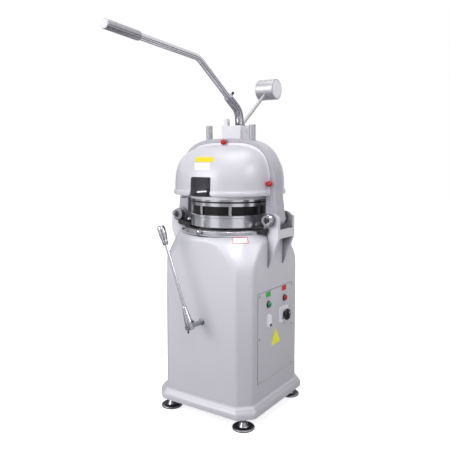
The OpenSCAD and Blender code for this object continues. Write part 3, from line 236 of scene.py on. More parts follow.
# Pale paint: a painted highlight on the covers' lips along the seam and on the lock collar, painted light
# on the lit faces of the hub and its pinion shaft, and the pale end disc of the lever grip.
PALE_PAINT_AND_HIGHLIGHT = surface("pale_paint_and_highlight", srgb(232, 231, 238), 0.0, 0.4, 0.02, 0.05, 700, 0.01, 5)
PANEL_PAINT = surface("panel_paint", srgb(200, 199, 208), 0.0, 0.4, 0.02, 0.05, 700, 0.02, 5)
WEIGHT_PAINT = surface("weight_paint", srgb(180, 179, 186), 0.5, 0.34, 0.03, 0.06, 300, 0.0, 6,
                       stretch=(14, 1, 1))
POST_STEEL = surface("post_steel", srgb(172, 172, 178), 0.25, 0.4, 0.03, 0.05, 300, 0.0, 6)
# White paint: the panel lock, the switch plate lightened as painted light against the shade on the panel,
# and painted light on the counterweight's end faces.
WHITE_PAINT_AND_PAINTED_LIGHT = surface("white_paint_and_painted_light", srgb(244, 243, 250), 0.0, 0.4, 0.02, 0.05, 300, 0.0, 6)
# Brackets: paint lighter than the silver paint, as painted light on their lit faces, with painted shade in
# their hollows and between their ribs.
BRACKET_PAINT_AND_SHADE = surface("bracket_paint_and_shade", srgb(218, 217, 226), 0.1, 0.38, 0.02, 0.05, 700, 0.02, 5, 0.05)
shade_hollows(BRACKET_PAINT_AND_SHADE, 60, srgb(92, 92, 98))
FINISHES = {
    "left_bracket right_bracket": BRACKET_PAINT_AND_SHADE,
    "lever_socket rounding_grip rounding_shaft bowl_flange": SATIN,
    "press_disc cage chamber_ring": BRUSHED,
    "rounding_socket pivot_pins": POLISHED,
    "lever_tube": TUBE_STEEL,
    "guide_posts counterweight_arm": POST_STEEL,
    "yoke": YOKE_PAINT,
    # Painted light: paler paint on the lit faces of the hub and its pinion shaft.
    "hub_block pinion_shaft": PALE_PAINT_AND_HIGHLIGHT,
    "control_panel": PANEL_PAINT,
    # The switch plate in white paint is painted light against the shade on the panel.
    "panel_lock switch_plate": WHITE_PAINT_AND_PAINTED_LIGHT,
    "button_bezels lock_cylinder": MATS["black_plastic"],
}
for listed, finish in FINISHES.items():
    for node_name in listed.split():
        nodes[node_name].data.materials[0] = finish
# Grey for the painted shadow in the gap round the front cover's lip.
SEAM_SHADOW_GREY = surface("seam_shadow_grey", srgb(124, 124, 130), 0.0, 0.5, 0.04, 0.05, 500, 0.02, 12)
LABEL_WHITE = surface("label_white", srgb(240, 240, 238), 0.0, 0.4, 0.01, 0.05, 700, 0.01, 20)
SIGN_YELLOW = surface("sign_yellow", srgb(252, 248, 20), 0.0, 0.4, 0.02, 0.05, 700, 0.01, 20)
LABEL_YELLOW = surface("label_yellow", srgb(238, 216, 18), 0.0, 0.4, 0.02, 0.05, 700, 0.01, 20)
LABEL_RED = surface("label_red", srgb(200, 30, 34), 0.0, 0.42, 0.03, 0.05, 700, 0.01, 20)
LABEL_GREEN = surface("label_green", srgb(40, 176, 62), 0.0, 0.42, 0.03, 0.05, 700, 0.01, 20)
# Black for the painted shade behind the cage windows.
WINDOW_SHADE = surface("window_shade_black", srgb(9, 9, 10), 0.0, 0.3, 0.1, 0.05, 500, 0.0, 18, specular=0.25)
# Dark rubber, also used as painted shade: the hexagons on the pin heads and the ring at the bowl's rim.
DARK_RUBBER_AND_SHADE = surface("dark_rubber_and_shade", srgb(22, 22, 24), 0.0, 0.5, 0.12, 0.08, 500, 0.05, 18)


# Mesh helpers, in millimetres

SHARP_ANGLE = 38


def clean_mesh(name, verts, faces):
    """Mesh from points in millimetres, with doubles merged and normals outward."""
    mesh = bpy.data.meshes.new(name)
    mesh.from_pydata([Vector(v) * MM for v in verts], [], faces)
    bm = bmesh.new()
    bm.from_mesh(mesh)
    bmesh.ops.remove_doubles(bm, verts=bm.verts, dist=1e-6)
    bmesh.ops.dissolve_degenerate(bm, edges=bm.edges, dist=1e-7)
    bmesh.ops.recalc_face_normals(bm, faces=bm.faces)
    bm.to_mesh(mesh)
    bm.free()
    return mesh


def smooth_to(mesh, angle):
    """Smooth shading, with edges sharper than an angle in degrees kept sharp."""
    mesh.shade_smooth()
    mesh.set_sharp_from_angle(angle=math.radians(angle))


def piece(name, verts, faces, body, mat, slot_name, angle=SHARP_ANGLE):
    """Smooth mesh object from points in millimetres, riding on a body."""
    mesh = clean_mesh(name, verts, faces)
    smooth_to(mesh, angle)
    mesh.materials.append(mat)
    obj = bpy.data.objects.new(name, mesh)
    bpy.context.scene.collection.objects.link(obj)
    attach(obj, body)
    return obj


def rings(rows, closed=True, caps=True):
    """Faces between rows of points that all have the same count."""
    verts = [p for row in rows for p in row]
    n = len(rows[0])
    faces = []
    span = n if closed else n - 1
    for r in range(len(rows) - 1):
        for i in range(span):
            j = (i + 1) % n
            faces.append((r * n + i, r * n + j, (r + 1) * n + j, (r + 1) * n + i))
    if caps:
        faces.append(tuple(range(n - 1, -1, -1)))
        faces.append(tuple(range((len(rows) - 1) * n, len(rows) * n)))
    return verts, faces


def strip(rows):
    """Closed bar: the last row meets the first, and both ends of the rows are filled."""
    verts, faces = rings(rows + [rows[0]], closed=False, caps=False)
    n = len(rows[0])
    for i in (0, n - 1):
        faces.append(tuple(r * n + i for r in range(len(rows))))
    return verts, faces


def lathe(profile, steps, centre, axis=(0, 0, 1)):
    """Turned form: profile of (radius, height) about an axis; one that ends where it starts is a ring."""
    is_ring = tuple(profile[0]) == tuple(profile[-1])
    turn = Vector((0, 0, 1)).rotation_difference(Vector(axis)).to_matrix()
    rows = []
    for radius, height in profile:
        row = []
        for k in range(steps):
            a = 2 * math.pi * k / steps
            local = Vector((radius * math.cos(a), radius * math.sin(a), height))
            row.append(turn @ local + Vector(centre))
        rows.append(row)
    return rings(rows, caps=not is_ring)


def joined(*parts):
    """One vertex and face list from several."""
    verts = []
    faces = []
    for part_verts, part_faces in parts:
        base = len(verts)
        verts.extend(part_verts)
        faces.extend(tuple(i + base for i in face) for face in part_faces)
    return verts, faces


def rounded(points, radius, steps=4):
    """Round the corners of a profile of (radius, height) points, within a share of each side."""
    share = 0.45
    out = [points[0]]
    for before, at, after in zip(points, points[1:], points[2:]):
        p, q, r = Vector(before), Vector(at), Vector(after)
        reach = min(radius, (p - q).length * share, (r - q).length * share)
        a = q + (p - q).normalized() * reach
        b = q + (r - q).normalized() * reach
        for k in range(steps + 1):
            t = k / steps
            out.append(tuple((1 - t) ** 2 * a + 2 * t * (1 - t) * q + t ** 2 * b))
    out.append(points[-1])
    return out


def slab(points, front, back, soft=1.5):
    """Plate with softened edges: outline of (x, z) points between two places in Y."""
    middle = sum((Vector(p) for p in points), Vector((0, 0))) / len(points)
    rows = []
    for y, pull in ((front, soft), (front + soft, 0), (back - soft, 0), (back, soft)):
        row = []
        for p in points:
            inward = middle - Vector(p)
            q = Vector(p) + inward.normalized() * pull
            row.append((q[0], y, q[1]))
        rows.append(row)
    return rings(rows)


# Cabinet and plinth

WALL_STEPS = 288


def octagon_radius(angle, half, chamfer, power=110):
    """Radius of a soft-edged octagon at an angle."""
    corner = (half[0] + half[1] - chamfer) / math.sqrt(2)
    total = 0.0
    for k in range(8):
        facing = math.radians(45 * k)
        distance = corner if k % 2 else half[(k // 2) % 2]
        along = math.cos(angle - facing)
        if along > 0:
            total += (along / distance) ** power
    return total ** (-1.0 / power)


def cabinet_radius(angle, z, power=70):
    """Octagon wall running into the conical shoulder."""
    wall = octagon_radius(angle, BODY_HALF, BODY_CHAMFER)
    down = max(0.0, BODY_TOP - z) / CROWN_DROP
    cone = CROWN_R + CROWN_SPREAD * down ** CROWN_POWER
    return (wall ** -power + cone ** -power) ** (-1.0 / power)


def outline(z, radius_at, inset=0.0):
    """Row of points round the cabinet's axis at a height."""
    row = []
    for k in range(WALL_STEPS):
        a = 2 * math.pi * k / WALL_STEPS
        r = radius_at(a, z) - inset
        row.append((r * math.cos(a), r * math.sin(a), z))
    return row


def circle_row(z, radius, centre_y):
    """Row of points round a circle at a height."""
    row = []
    for k in range(WALL_STEPS):
        a = 2 * math.pi * k / WALL_STEPS
        row.append((radius * math.cos(a), centre_y + radius * math.sin(a), z))
    return row


def build_cabinet():
    """Cabinet shell: straight walls, the conical shoulder and its round edge, and the opening."""
    levels = [PLINTH_TOP, 300, 500, 650, 700]
    levels += [720 + 6 * k for k in range(31)]
    rows = [outline(z, cabinet_radius) for z in levels]
    round_steps = 8
    for k in range(1, round_steps + 1):
        turn = math.radians(90 * k / round_steps)
        z = BODY_TOP - CROWN_ROUND * (1 - math.sin(turn))
        rows.append(outline(z, cabinet_radius, CROWN_TUCK * (1 - math.cos(turn))))
    rows.append(circle_row(BODY_TOP, OPENING_R, HEAD_Y))
    rows.append(circle_row(BODY_TOP - WALL, OPENING_R, HEAD_Y))
    for z in reversed(levels):
        if z < BODY_TOP - 2 * WALL:
            rows.append(outline(z, cabinet_radius, WALL))
    rows.append(rows[0])
    verts, faces = rings(rows, caps=False)
    shell = piece("cabinet", verts, faces, "frame", MATS["silver_paint"], "silver_paint")
    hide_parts("body_shell")


def plinth_radius(angle, z):
    """Radius of the plinth at an angle, the same at each height."""
    return octagon_radius(angle, PLINTH_HALF, PLINTH_CHAMFER)


def build_plinth():
    """Plinth with a moulded edge, hollow below, and a boss over each foot; points are (inset, height)."""
    profile = [(2, PLINTH_BASE), (0.5, PLINTH_BASE + 1), (0, PLINTH_BASE + 3), (0, 84), (0.8, 87.5),
               (3, 93), (6.3, 98), (9.4, 101.4), (10.5, 102.4), (11, 104), (12.4, 107), (15.6, 111),
               (19.6, 114.6), (23.4, 117), (26, PLINTH_TOP), (34, PLINTH_TOP), (60, PLINTH_TOP),
               (200, PLINTH_TOP)]
    under_top = PLINTH_TOP - 10
    under = [(200, under_top), (22, under_top), (12, PLINTH_BASE + 2), (10, PLINTH_BASE)]
    parts = [rings([outline(z, plinth_radius, inset) for inset, z in under + profile])]
    for sx in (-1, 1):
        for sy in (-1, 1):
            boss = [(18, PLINTH_BASE), (18, PLINTH_TOP - 9)]
            parts.append(lathe(boss, 32, (sx * FOOT_X, sy * FOOT_Y, 0)))
    verts, faces = joined(*parts)
    tray = piece("plinth", verts, faces, "frame", MATS["silver_paint"], "silver_paint")
    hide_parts("base_plinth")


build_cabinet()
build_plinth()


# Dome covers

def cover_point(around, rise, grow, front):
    """Point on a dome cover; around runs 0 to 180 degrees over the half plan."""
    up = math.sin(math.radians(rise)) ** (2 / ACROSS_POWER)
    across = max(0.0, 1 - up ** ACROSS_POWER) ** (1 / ACROSS_POWER)
    forward = max(0.0, 1 - up ** FORWARD_POWER) ** (1 / FORWARD_POWER)
    c = math.cos(math.radians(around))
    s = math.sin(math.radians(around))
    x = max(0.0, COVER_HALF_W * across + grow) * math.copysign(abs(c) ** (2 / PLAN_POWER), c)
    depth = FRONT_DEPTH if front else REAR_DEPTH
    y = max(0.0, depth * forward + grow) * abs(s) ** (2 / PLAN_POWER)
    z = SPRING_Z + (COVER_TOP - SPRING_Z + min(0.0, grow)) * up
    return (x, SEAM_FRONT - y, z) if front else (x, SEAM_REAR + y, z)


def dome_y(x, z):
    """Y of the front dome's outer face at a place in X and Z."""
    up = (z - SPRING_Z) / (COVER_TOP - SPRING_Z)
    across = (1 - up ** ACROSS_POWER) ** (1 / ACROSS_POWER)
    forward = (1 - up ** FORWARD_POWER) ** (1 / FORWARD_POWER)
    side = abs(x) / (COVER_HALF_W * across)
    return SEAM_FRONT - FRONT_DEPTH * forward * (1 - side ** PLAN_POWER) ** (1 / PLAN_POWER)


def cover_shell(front):
    """Dome cover with a wall and a bead round its rim; bead points are (height, growth)."""
    steps = 96
    rise_steps = 40
    crowding = 1.15
    wall = 5
    rises = [90 * (k / rise_steps) ** crowding for k in range(rise_steps)]
    bead = [(0, 2.5), (1.2, 4.6), (4, 6), (10, 6.6), (18, 6), (22, 4.4), (25, 2), (27, 0.8), (30, 0.2)]

    def row_at(rise, grow, z=None):
        row = []
        for k in range(steps + 1):
            p = cover_point(180 * k / steps, rise, grow, front)
            row.append(p if z is None else (p[0], p[1], z))
        return row

    seam = SEAM_FRONT if front else SEAM_REAR
    outer = [row_at(0, grow, RIM_Z + dz) for dz, grow in bead]
    outer += [row_at(rise, 0) for rise in rises]
    outer.append([(0, seam, COVER_TOP)] * (steps + 1))
    inner = [row_at(0, -4, RIM_Z)]
    inner += [row_at(rise, -wall) for rise in rises]
    inner.append([(0, seam, COVER_TOP - wall)] * (steps + 1))
    return strip(outer + inner[::-1])


def window_cutter():
    """Prism of the front window: round upper corners, flared at the rim."""
    left, right, top, low = -50, 69, 1224, RIM_Z - 4
    corner, flare, step = 9, 15, 6
    before_dome, inside_dome = -340, -150
    quarter = [math.radians(15 * k) for k in range(7)]

    def side_points(edge, out):
        """Points down one side; out is 1 on the right and -1 on the left."""
        upper = [(edge + out * corner * (math.sin(a) - 1), top + corner * (math.cos(a) - 1))
                 for a in quarter]
        lower = [(edge + out * flare * (1 - math.cos(a)), low + step + flare * (1 - math.sin(a)))
                 for a in quarter]
        return upper + lower + [(edge + out * flare, low)]

    outline_points = side_points(right, 1) + side_points(left, -1)[::-1]
    rows = [[(x, y, z) for x, z in outline_points] for y in (before_dome, inside_dome)]
    return rings(rows)


def cut_with(obj, cutter_form):
    """Cut a form of points and faces out of a piece's mesh."""
    cutter = bpy.data.objects.new("cutter", clean_mesh("cutter", *cutter_form))
    bpy.context.scene.collection.objects.link(cutter)
    mod = obj.modifiers.new("cut", "BOOLEAN")
    mod.operation = "DIFFERENCE"
    mod.solver = "EXACT"
    mod.object = cutter
    bpy.context.view_layer.update()
    graph = bpy.context.evaluated_depsgraph_get()
    result = bpy.data.meshes.new_from_object(obj.evaluated_get(graph))
    obj.modifiers.clear()
    obj.data = result
    bpy.data.objects.remove(cutter)
    smooth_to(result, SHARP_ANGLE)


def arch_row(offset, y, steps=120):
    """Row of points along the dome's arch, a distance outside it, at a place in Y."""
    row = []
    for k in range(steps + 1):
        t = math.radians(180 * k / steps)
        c = math.cos(t)
        s = math.sin(t)
        x = (COVER_HALF_W + offset) * math.copysign(abs(c) ** (2 / ACROSS_POWER), c)
        z = SPRING_Z + (COVER_TOP - SPRING_Z + offset) * abs(s) ** (2 / ACROSS_POWER)
        row.append((x, y, z))
    return row


def cover_lip(front):
    """Flat flange of a cover along the seam, on the yoke."""
    seam = SEAM_FRONT if front else SEAM_REAR
    out = -1 if front else 1
    rows = []
    for offset, depth in ((-3, 0), (12, 0), (12.4, 1.2), (12, 3.4), (11, 4), (-3, 4)):
        row = arch_row(offset, seam + out * depth)
        row.insert(0, (row[0][0], row[0][1], RIM_Z + 1))
        row.append((row[-1][0], row[-1][1], RIM_Z + 1))
        rows.append(row)
    return strip(rows)


def build_covers():
    """Front and rear dome with their lips; the front one has the window."""
    for front in (True, False):
        word = "front" if front else "rear"
        verts, faces = cover_shell(front)
        dome = piece(word + "_dome", verts, faces, "head", MATS["silver_paint"], "silver_paint", angle=42)
        if front:
            cut_with(dome, window_cutter())
        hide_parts(word + "_cover")
        verts, faces = cover_lip(front)
        # The lip is in paler paint, a painted highlight along the seam.
        piece(word + "_dome_lip", verts, faces, "head", PALE_PAINT_AND_HIGHLIGHT, "silver_paint")


build_covers()


# Plain plates

def patch(name, place, across, upward, lift, body, mat, slot_name, steps=12):
    """Thin plate on a curved or flat face; place(u, v, lift) gives its points."""
    n = steps + 1
    verts = []
    for level in (0.0, lift):
        for i in range(n):
            v = upward[0] + (upward[1] - upward[0]) * i / steps
            for j in range(n):
                u = across[0] + (across[1] - across[0]) * j / steps
                verts.append(place(u, v, level))
    faces = []
    for level in (0, 1):
        base = level * n * n
        for i in range(steps):
            for j in range(steps):
                a = base + i * n + j
                faces.append((a, a + 1, a + n + 1, a + n))
    rim = list(range(n))
    rim += [i * n + n - 1 for i in range(1, n)]
    rim += [(n - 1) * n + j for j in range(n - 2, -1, -1)]
    rim += [i * n for i in range(n - 2, 0, -1)]
    for a, b in zip(rim, rim[1:] + rim[:1]):
        faces.append((a, b, b + n * n, a + n * n))
    return piece(name, verts, faces, body, mat, slot_name)


def on_dome(u, z, lift):
    """Point on the front dome, in a plate that leans to the left as it rises."""
    x = u - DOME_PLATE_LEAN * (z - DOME_PLATE_Z)
    return (x, dome_y(x, z) - DOME_PLATE_GAP - lift, z)


def on_shoulder(angle, z, lift):
    """Point on the cabinet's shoulder."""
    a = math.radians(angle)
    r = cabinet_radius(a, z) + lift
    return (r * math.cos(a), r * math.sin(a), z)


def on_panel(y, z, lift):
    """Point on the control panel."""
    return (PANEL_X + lift, y, z)


def build_plates():
    """Plain plates where the labels are."""
    patch("dome_bar", on_dome, (-42, 65), (1297, 1321), 0.8, "head", LABEL_YELLOW, "white_plastic")
    patch("dome_plate", on_dome, (-43, 48), (1257, 1293), 0.8, "head", LABEL_WHITE, "white_plastic")
    patch("shoulder_label_edge", on_shoulder, (-55.5, -40.3), (905.5, 934), 0.6, "frame", LABEL_RED,
          "red_plastic")
    patch("shoulder_label", on_shoulder, (-54.9, -40.9), (908, 931.5), 1.0, "frame", LABEL_WHITE,
          "white_plastic")
    patch("start_plate", on_panel, (-102, -58), (626, 652), 1.0, "frame", LABEL_GREEN, "green_plastic", 4)
    patch("stop_plate", on_panel, (61, 105), (628, 654), 1.0, "frame", LABEL_RED, "red_plastic", 4)


def build_sign():
    """Plain yellow triangle on the control panel."""
    corners = [(-5, 451), (-46, 366), (44, 368)]
    middle = (1.5, 390)
    cut, tip = 0.07, 0.02
    rows = []
    for x, inset in ((PANEL_X, 0.0), (PANEL_X + 0.6, 0.0), (PANEL_X + 1.0, 0.03)):
        row = []
        for k in range(3):
            before = Vector(corners[k - 1])
            at = Vector(corners[k])
            after = Vector(corners[(k + 1) % 3])
            round_tip = (at + (before - at) * cut, at + (before - at) * tip + (after - at) * tip,
                         at + (after - at) * cut)
            for a in round_tip:
                b = a + (Vector(middle) - a) * inset
                row.append((x, b[0], b[1]))
        rows.append(row)
    verts, faces = rings(rows)
    piece("panel_sign", verts, faces, "frame", SIGN_YELLOW, "white_plastic", angle=20)


build_plates()
build_sign()


# Feet, knobs, seal and other small pieces

def build_feet():
    """Levelling feet: a steel base and hub with a black dish between them."""
    chrome_parts = []
    black_parts = []
    base = rounded([(TIP, 0), (FOOT_R - 2, 0), (FOOT_R, 3), (FOOT_R, 8), (FOOT_R - 4, 11.5),
                    (FOOT_R - 7, 11), (FOOT_R - 8, 8), (TIP, 8)], 1.6)
    hub = rounded([(TIP, 8), (28, 8), (28, 11), (24, 16), (15.5, 34), (13, 36), (9.2, 36), (9.2, 20),
                   (TIP, 20)], 1.5)
    dish = rounded([(27, 8), (FOOT_R - 6.5, 8), (FOOT_R - 6.5, 11.2), (FOOT_R - 12, 12.6), (32, 14),
                    (27, 13), (27, 8)], 1.2)
    for sx in (-1, 1):
        for sy in (-1, 1):
            centre = (sx * FOOT_X, sy * FOOT_Y, 0)
            chrome_parts.append(lathe(base, 72, centre))
            chrome_parts.append(lathe(hub, 48, centre))
            black_parts.append(lathe(dish, 72, centre))
    verts, faces = joined(*chrome_parts)
    pads = piece("foot_bases", verts, faces, "frame", FOOT_STEEL, "chrome", angle=30)
    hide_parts("foot_pads")
    verts, faces = joined(*black_parts)
    piece("foot_dishes", verts, faces, "frame", MATS["black_plastic"], "black_plastic")


def build_knobs():
    """Red ball knobs on a collar, on the front cover's lip."""
    profile = rounded([(TIP, 0), (8, 0), (8, 4.3), (11.5, 4.4), (10.6, 9), (11.6, 11), (14.4, 16),
                       (14.5, 20), (11.6, 26), (6, 28.7), (TIP, 29)], 2.5, 5)
    spots = [(0, 1397.5), (-272.5, 1190), (272.5, 1190)]
    parts = [lathe(profile, 48, (x, SEAM_FRONT, z), (0, -1, 0)) for x, z in spots]
    verts, faces = joined(*parts)
    knobs = piece("cover_ball_knobs", verts, faces, "head", MATS["red_plastic"], "red_plastic", angle=50)
    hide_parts("cover_knobs")


def head_ring(name, profile, body, mat, slot_name, angle, steps=144):
    """Turned ring about the head's axis."""
    verts, faces = lathe(profile, steps, (0, HEAD_Y, 0))
    return piece(name, verts, faces, body, mat, slot_name, angle=angle)


def build_seal():
    """Black ring on the bowl's rim, a seal and painted shade of the gap under the chamber ring; a black
    sheet behind the cage windows, painted shade for the dark inside; and a dark ring under the disc.
    """
    seal = rounded([(211, 953), (221.8, 953), (224, 957), (223, 961), (216, 962.5), (211, 960),
                    (211, 953)], 1.4)
    head_ring("bowl_seal_and_gap_shade", seal, "frame", DARK_RUBBER_AND_SHADE, "black_plastic", 50)
    # Painted shade: a black sheet behind the cage windows for the dark inside.
    shade_sheet = [(196.3, 1032), (196.8, 1032), (196.8, 1077), (196.3, 1077), (196.3, 1032)]
    head_ring("cage_window_shade", shade_sheet, "press", WINDOW_SHADE, "black_plastic", 30)
    dark_ring = rounded([(196, 1092.4), (203.5, 1092.4), (204.2, 1094.5), (203.5, 1096.7), (196, 1096.7),
                      (196, 1092.4)], 0.6)
    head_ring("disc_dark_ring", dark_ring, "press", DARK_RUBBER_AND_SHADE, "black_plastic", 40)


def build_weight():
    """Counterweight with softly rounded ends, across the machine, and pale discs on its ends as painted
    light on the lit end faces.
    """
    low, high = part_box("counterweight")
    middle = [500 * (a + b) for a, b in zip(low, high)]
    length = 1000 * (high[0] - low[0])
    radius = 500 * (high[2] - low[2])
    edge = 2.5
    profile = rounded([(TIP, 0), (radius - edge, 0), (radius, edge), (radius, length - edge),
                       (radius - edge, length), (TIP, length)], 3, 5)
    verts, faces = lathe(profile, 96, (middle[0] - length / 2, middle[1], middle[2]), (1, 0, 0))
    weight = piece("lever_weight", verts, faces, "lever", WEIGHT_PAINT, "silver_paint", angle=50)
    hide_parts("counterweight")
    disc = rounded([(TIP, 0), (radius - 8, 0), (radius - 8, 0.5), (radius - 9.5, 1.2), (TIP, 1.2)], 0.5)
    caps = [lathe(disc, 96, (middle[0] + side * length / 2, middle[1], middle[2]), (side, 0, 0))
            for side in (-1, 1)]
    verts, faces = joined(*caps)
    piece("weight_ends_painted_light", verts, faces, "lever", WHITE_PAINT_AND_PAINTED_LIGHT, "silver_paint", angle=50)


def build_ears():
    """Dark rubber ends of the seal beside each bracket."""
    front, back = -102, -87
    right = slab([(224, 941), (258, 939), (270, 945), (274, 958), (270, 971), (258, 968), (240, 960),
                  (226, 955)], front, back)
    left = slab([(-286, 962), (-274, 956), (-236, 955), (-200, 958), (-200, 968), (-236, 976), (-268, 987),
                 (-284, 982)], front, back)
    verts, faces = joined(right, left)
    piece("seal_ears", verts, faces, "frame", DARK_RUBBER_AND_SHADE, "black_plastic", angle=50)


def build_pin_socket_shade():
    """Dark hexagons on the heads of the pivot pins: painted shade for their sockets."""
    low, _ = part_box("pivot_pins")
    socket = [(TIP, 0), (12.5, 0), (12.5, 0.9), (11.2, 1.4), (TIP, 1.1)]
    spots = [(side * PIN_X, 1000 * low[1], PIN_Z) for side in (-1, 1)]
    verts, faces = joined(*[lathe(socket, 6, spot, (0, -1, 0)) for spot in spots])
    piece("pin_socket_shade", verts, faces, "frame", DARK_RUBBER_AND_SHADE, "black_plastic", angle=30)


def build_lock_handle():
    """Collar round the press disc in pale paint in place of chrome, a painted highlight, and its polished
    grip.
    """
    inner = COLLAR_R - 14
    top = COLLAR_Z + COLLAR_H
    collar = rounded([(inner, COLLAR_Z), (COLLAR_R, COLLAR_Z), (COLLAR_R, top), (inner, top),
                      (inner, COLLAR_Z)], 0.8)
    ring = head_ring("lock_collar", collar, "lock_handle", PALE_PAINT_AND_HIGHLIGHT, "chrome", 30, steps=160)
    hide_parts("lock_handle")
    turn = math.radians(-145)
    along = (math.cos(turn), math.sin(turn), 0)
    reach = COLLAR_R - 3
    root = (reach * along[0], HEAD_Y + reach * along[1], COLLAR_Z + COLLAR_H / 2)
    grip = rounded([(TIP, 0), (8, 0), (8, 10), (5, 14), (5, 22), (9, 28), (11, 38), (11, 48), (7, 56),
                    (TIP, 58)], 1.5)
    verts, faces = lathe(grip, 40, root, along)
    piece("lock_grip", verts, faces, "lock_handle", POLISHED, "chrome", angle=50)


def seam_shadow_strip():
    """Painted shadow: a dark line in the gap round the front cover's lip."""
    section = ((12.2, 0), (14.2, 0), (14.2, 0.5), (12.2, 0.5))
    verts, faces = strip([arch_row(offset, SEAM_FRONT - depth) for offset, depth in section])
    piece("seam_shadow_strip", verts, faces, "head", SEAM_SHADOW_GREY, "stand_paint", angle=30)


def build_grip():
    """Sleeve from a start along the hand lever's end, with a flat, pale end disc."""
    start = (0, -696.8, 1822.3)
    along = (0, -0.99756, 0.06976)
    sleeve = rounded([(16.3, 0), (20, 0), (20.8, 2), (21, 186), (20.5, 189), (18.5, 190), (TIP, 190)], 1.2)
    verts, faces = lathe(sleeve, 64, start, along)
    grip = piece("grip_sleeve", verts, faces, "lever", SATIN, "chrome", angle=40)
    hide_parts("lever_grip")
    disc = rounded([(TIP, 188), (18.6, 188), (18.6, 190.6), (17, 191.6), (TIP, 191.8)], 0.8)
    verts, faces = lathe(disc, 64, start, along)
    piece("grip_end", verts, faces, "lever", PALE_PAINT_AND_HIGHLIGHT, "silver_paint", angle=40)


def build_buttons():
    """Domed push buttons."""
    cap = rounded([(TIP, 0), (14.6, 0), (14.8, 13), (15, 15), (14.4, 18.5), (11.5, 22.5), (6.5, 24.6),
                   (TIP, 25.2)], 2, 5)
    for word, finish in (("start", "green_plastic"), ("stop", "red_plastic")):
        low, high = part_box(word + "_button")
        centre = (1000 * low[0], 500 * (low[1] + high[1]), 500 * (low[2] + high[2]))
        verts, faces = lathe(cap, 48, centre, (1, 0, 0))
        button = piece(word + "_cap", verts, faces, word, MATS[finish], finish, angle=50)
        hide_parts(word + "_button")


def build_switch():
    """Rotary switch: dial with its bar and a pale pointer that is also a painted highlight on the bar, and
    the dark spot on its plate.
    """
    disc = rounded([(TIP, 0), (15, 0), (15, 11), (27, 12), (30, 14), (29.5, 20), (27, 22), (TIP, 22)], 1.2)
    dial = lathe(disc, 64, (SWITCH_X, SWITCH_Y, SWITCH_Z), (1, 0, 0))
    bar_steps = 40
    rows = []
    for x, half_w, half_l in ((21, 7.5, 23), (25, 6.5, 22), (28, 5.5, 20.5), (29.5, 4, 19)):
        row = []
        for k in range(bar_steps):
            a = 2 * math.pi * k / bar_steps
            y = half_w * math.cos(a)
            z = math.copysign(half_l - half_w, math.sin(a)) + half_w * math.sin(a)
            row.append((SWITCH_X + x, SWITCH_Y + y, SWITCH_Z + z))
        rows.append(row)
    verts, faces = joined(dial, rings(rows))
    knob = piece("switch_dial", verts, faces, "switch", MATS["black_plastic"], "black_plastic", angle=40)
    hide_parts("switch_knob")
    # Pale pointer on the bar, also a painted highlight.
    corners = [(SWITCH_X + x, SWITCH_Z + z) for x, z in ((29, 5), (30, 5), (30, 17), (29, 17))]
    half_pointer = 1.6
    pointer = slab(corners, SWITCH_Y - half_pointer, SWITCH_Y + half_pointer, 0.2)
    piece("switch_pointer_and_highlight", *pointer, "switch", LABEL_WHITE, "white_plastic", angle=30)
    spot = rounded([(TIP, 0), (6, 0), (6, 0.6), (5.2, 1), (TIP, 1)], 0.3)
    verts, faces = lathe(spot, 32, (SWITCH_X - 0.4, SWITCH_Y - 14, SWITCH_Z - 18), (1, 0, 0))
    piece("switch_spot", verts, faces, "frame", DARK_RUBBER_AND_SHADE, "black_plastic", angle=40)


def build_panel_gap_shade():
    """Painted shade: a dark line in the gap round the control panel; points are (place in X, reach past the
    panel).
    """
    low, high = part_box("control_panel")
    rows = []
    for x, reach in ((270.1, 2.0), (270.8, 2.0), (270.8, -0.6), (270.1, -0.6)):
        y0 = 1000 * low[1] - reach
        y1 = 1000 * high[1] + reach
        z0 = 1000 * low[2] - reach
        z1 = 1000 * high[2] + reach
        rows.append([(x, y0, z0), (x, y1, z0), (x, y1, z1), (x, y0, z1)])
    rows.append(rows[0])
    piece("panel_gap_shade", *rings(rows, caps=False), "frame", MATS["stand_paint"], "stand_paint", angle=30)


def build_lever_screws():
    """Black set screws of the rounding lever's socket."""
    head = rounded([(TIP, 0), (5.5, 0), (5.5, 5), (3, 5), (2.6, 3), (TIP, 3)], 0.8)
    stud = rounded([(TIP, 0), (3, 0), (3, 12), (4.6, 13), (4.6, 19), (TIP, 19)], 0.8)
    side_screw = lathe(head, 24, (24, -375, 533), (0.94, 0, 0.34))
    end_screw = lathe(stud, 24, (2, -375, 489), (-0.3, 0, -0.95))
    verts, faces = joined(side_screw, end_screw)
    piece("socket_screws", verts, faces, "rounding_lever", MATS["black_plastic"], "black_plastic", angle=40)


build_feet()
build_knobs()
build_ears()
build_lever_screws()
build_grip()
build_buttons()
build_switch()
build_panel_gap_shade()
build_pin_socket_shade()
build_lock_handle()
seam_shadow_strip()
build_seal()
build_weight()


# Soft edges on the cast and bent pieces that stay as constructed

def soften(names, width, segments=3, angle=32):
    """Bevel of a width in millimetres on the edges of nodes that are sharper than an angle."""
    for name in names.split():
        mod = nodes[name].modifiers.new("soft_edges", "BEVEL")
        mod.width = width * MM
        mod.segments = segments
        mod.limit_method = "ANGLE"
        mod.angle_limit = math.radians(angle)
        mod.harden_normals = True


soften("left_bracket right_bracket yoke hub_block", 3.0)
soften("control_panel rear_panel switch_plate", 0.8, 2)
soften("chamber_ring press_disc front_catch", 0.8, 2)


# Studio

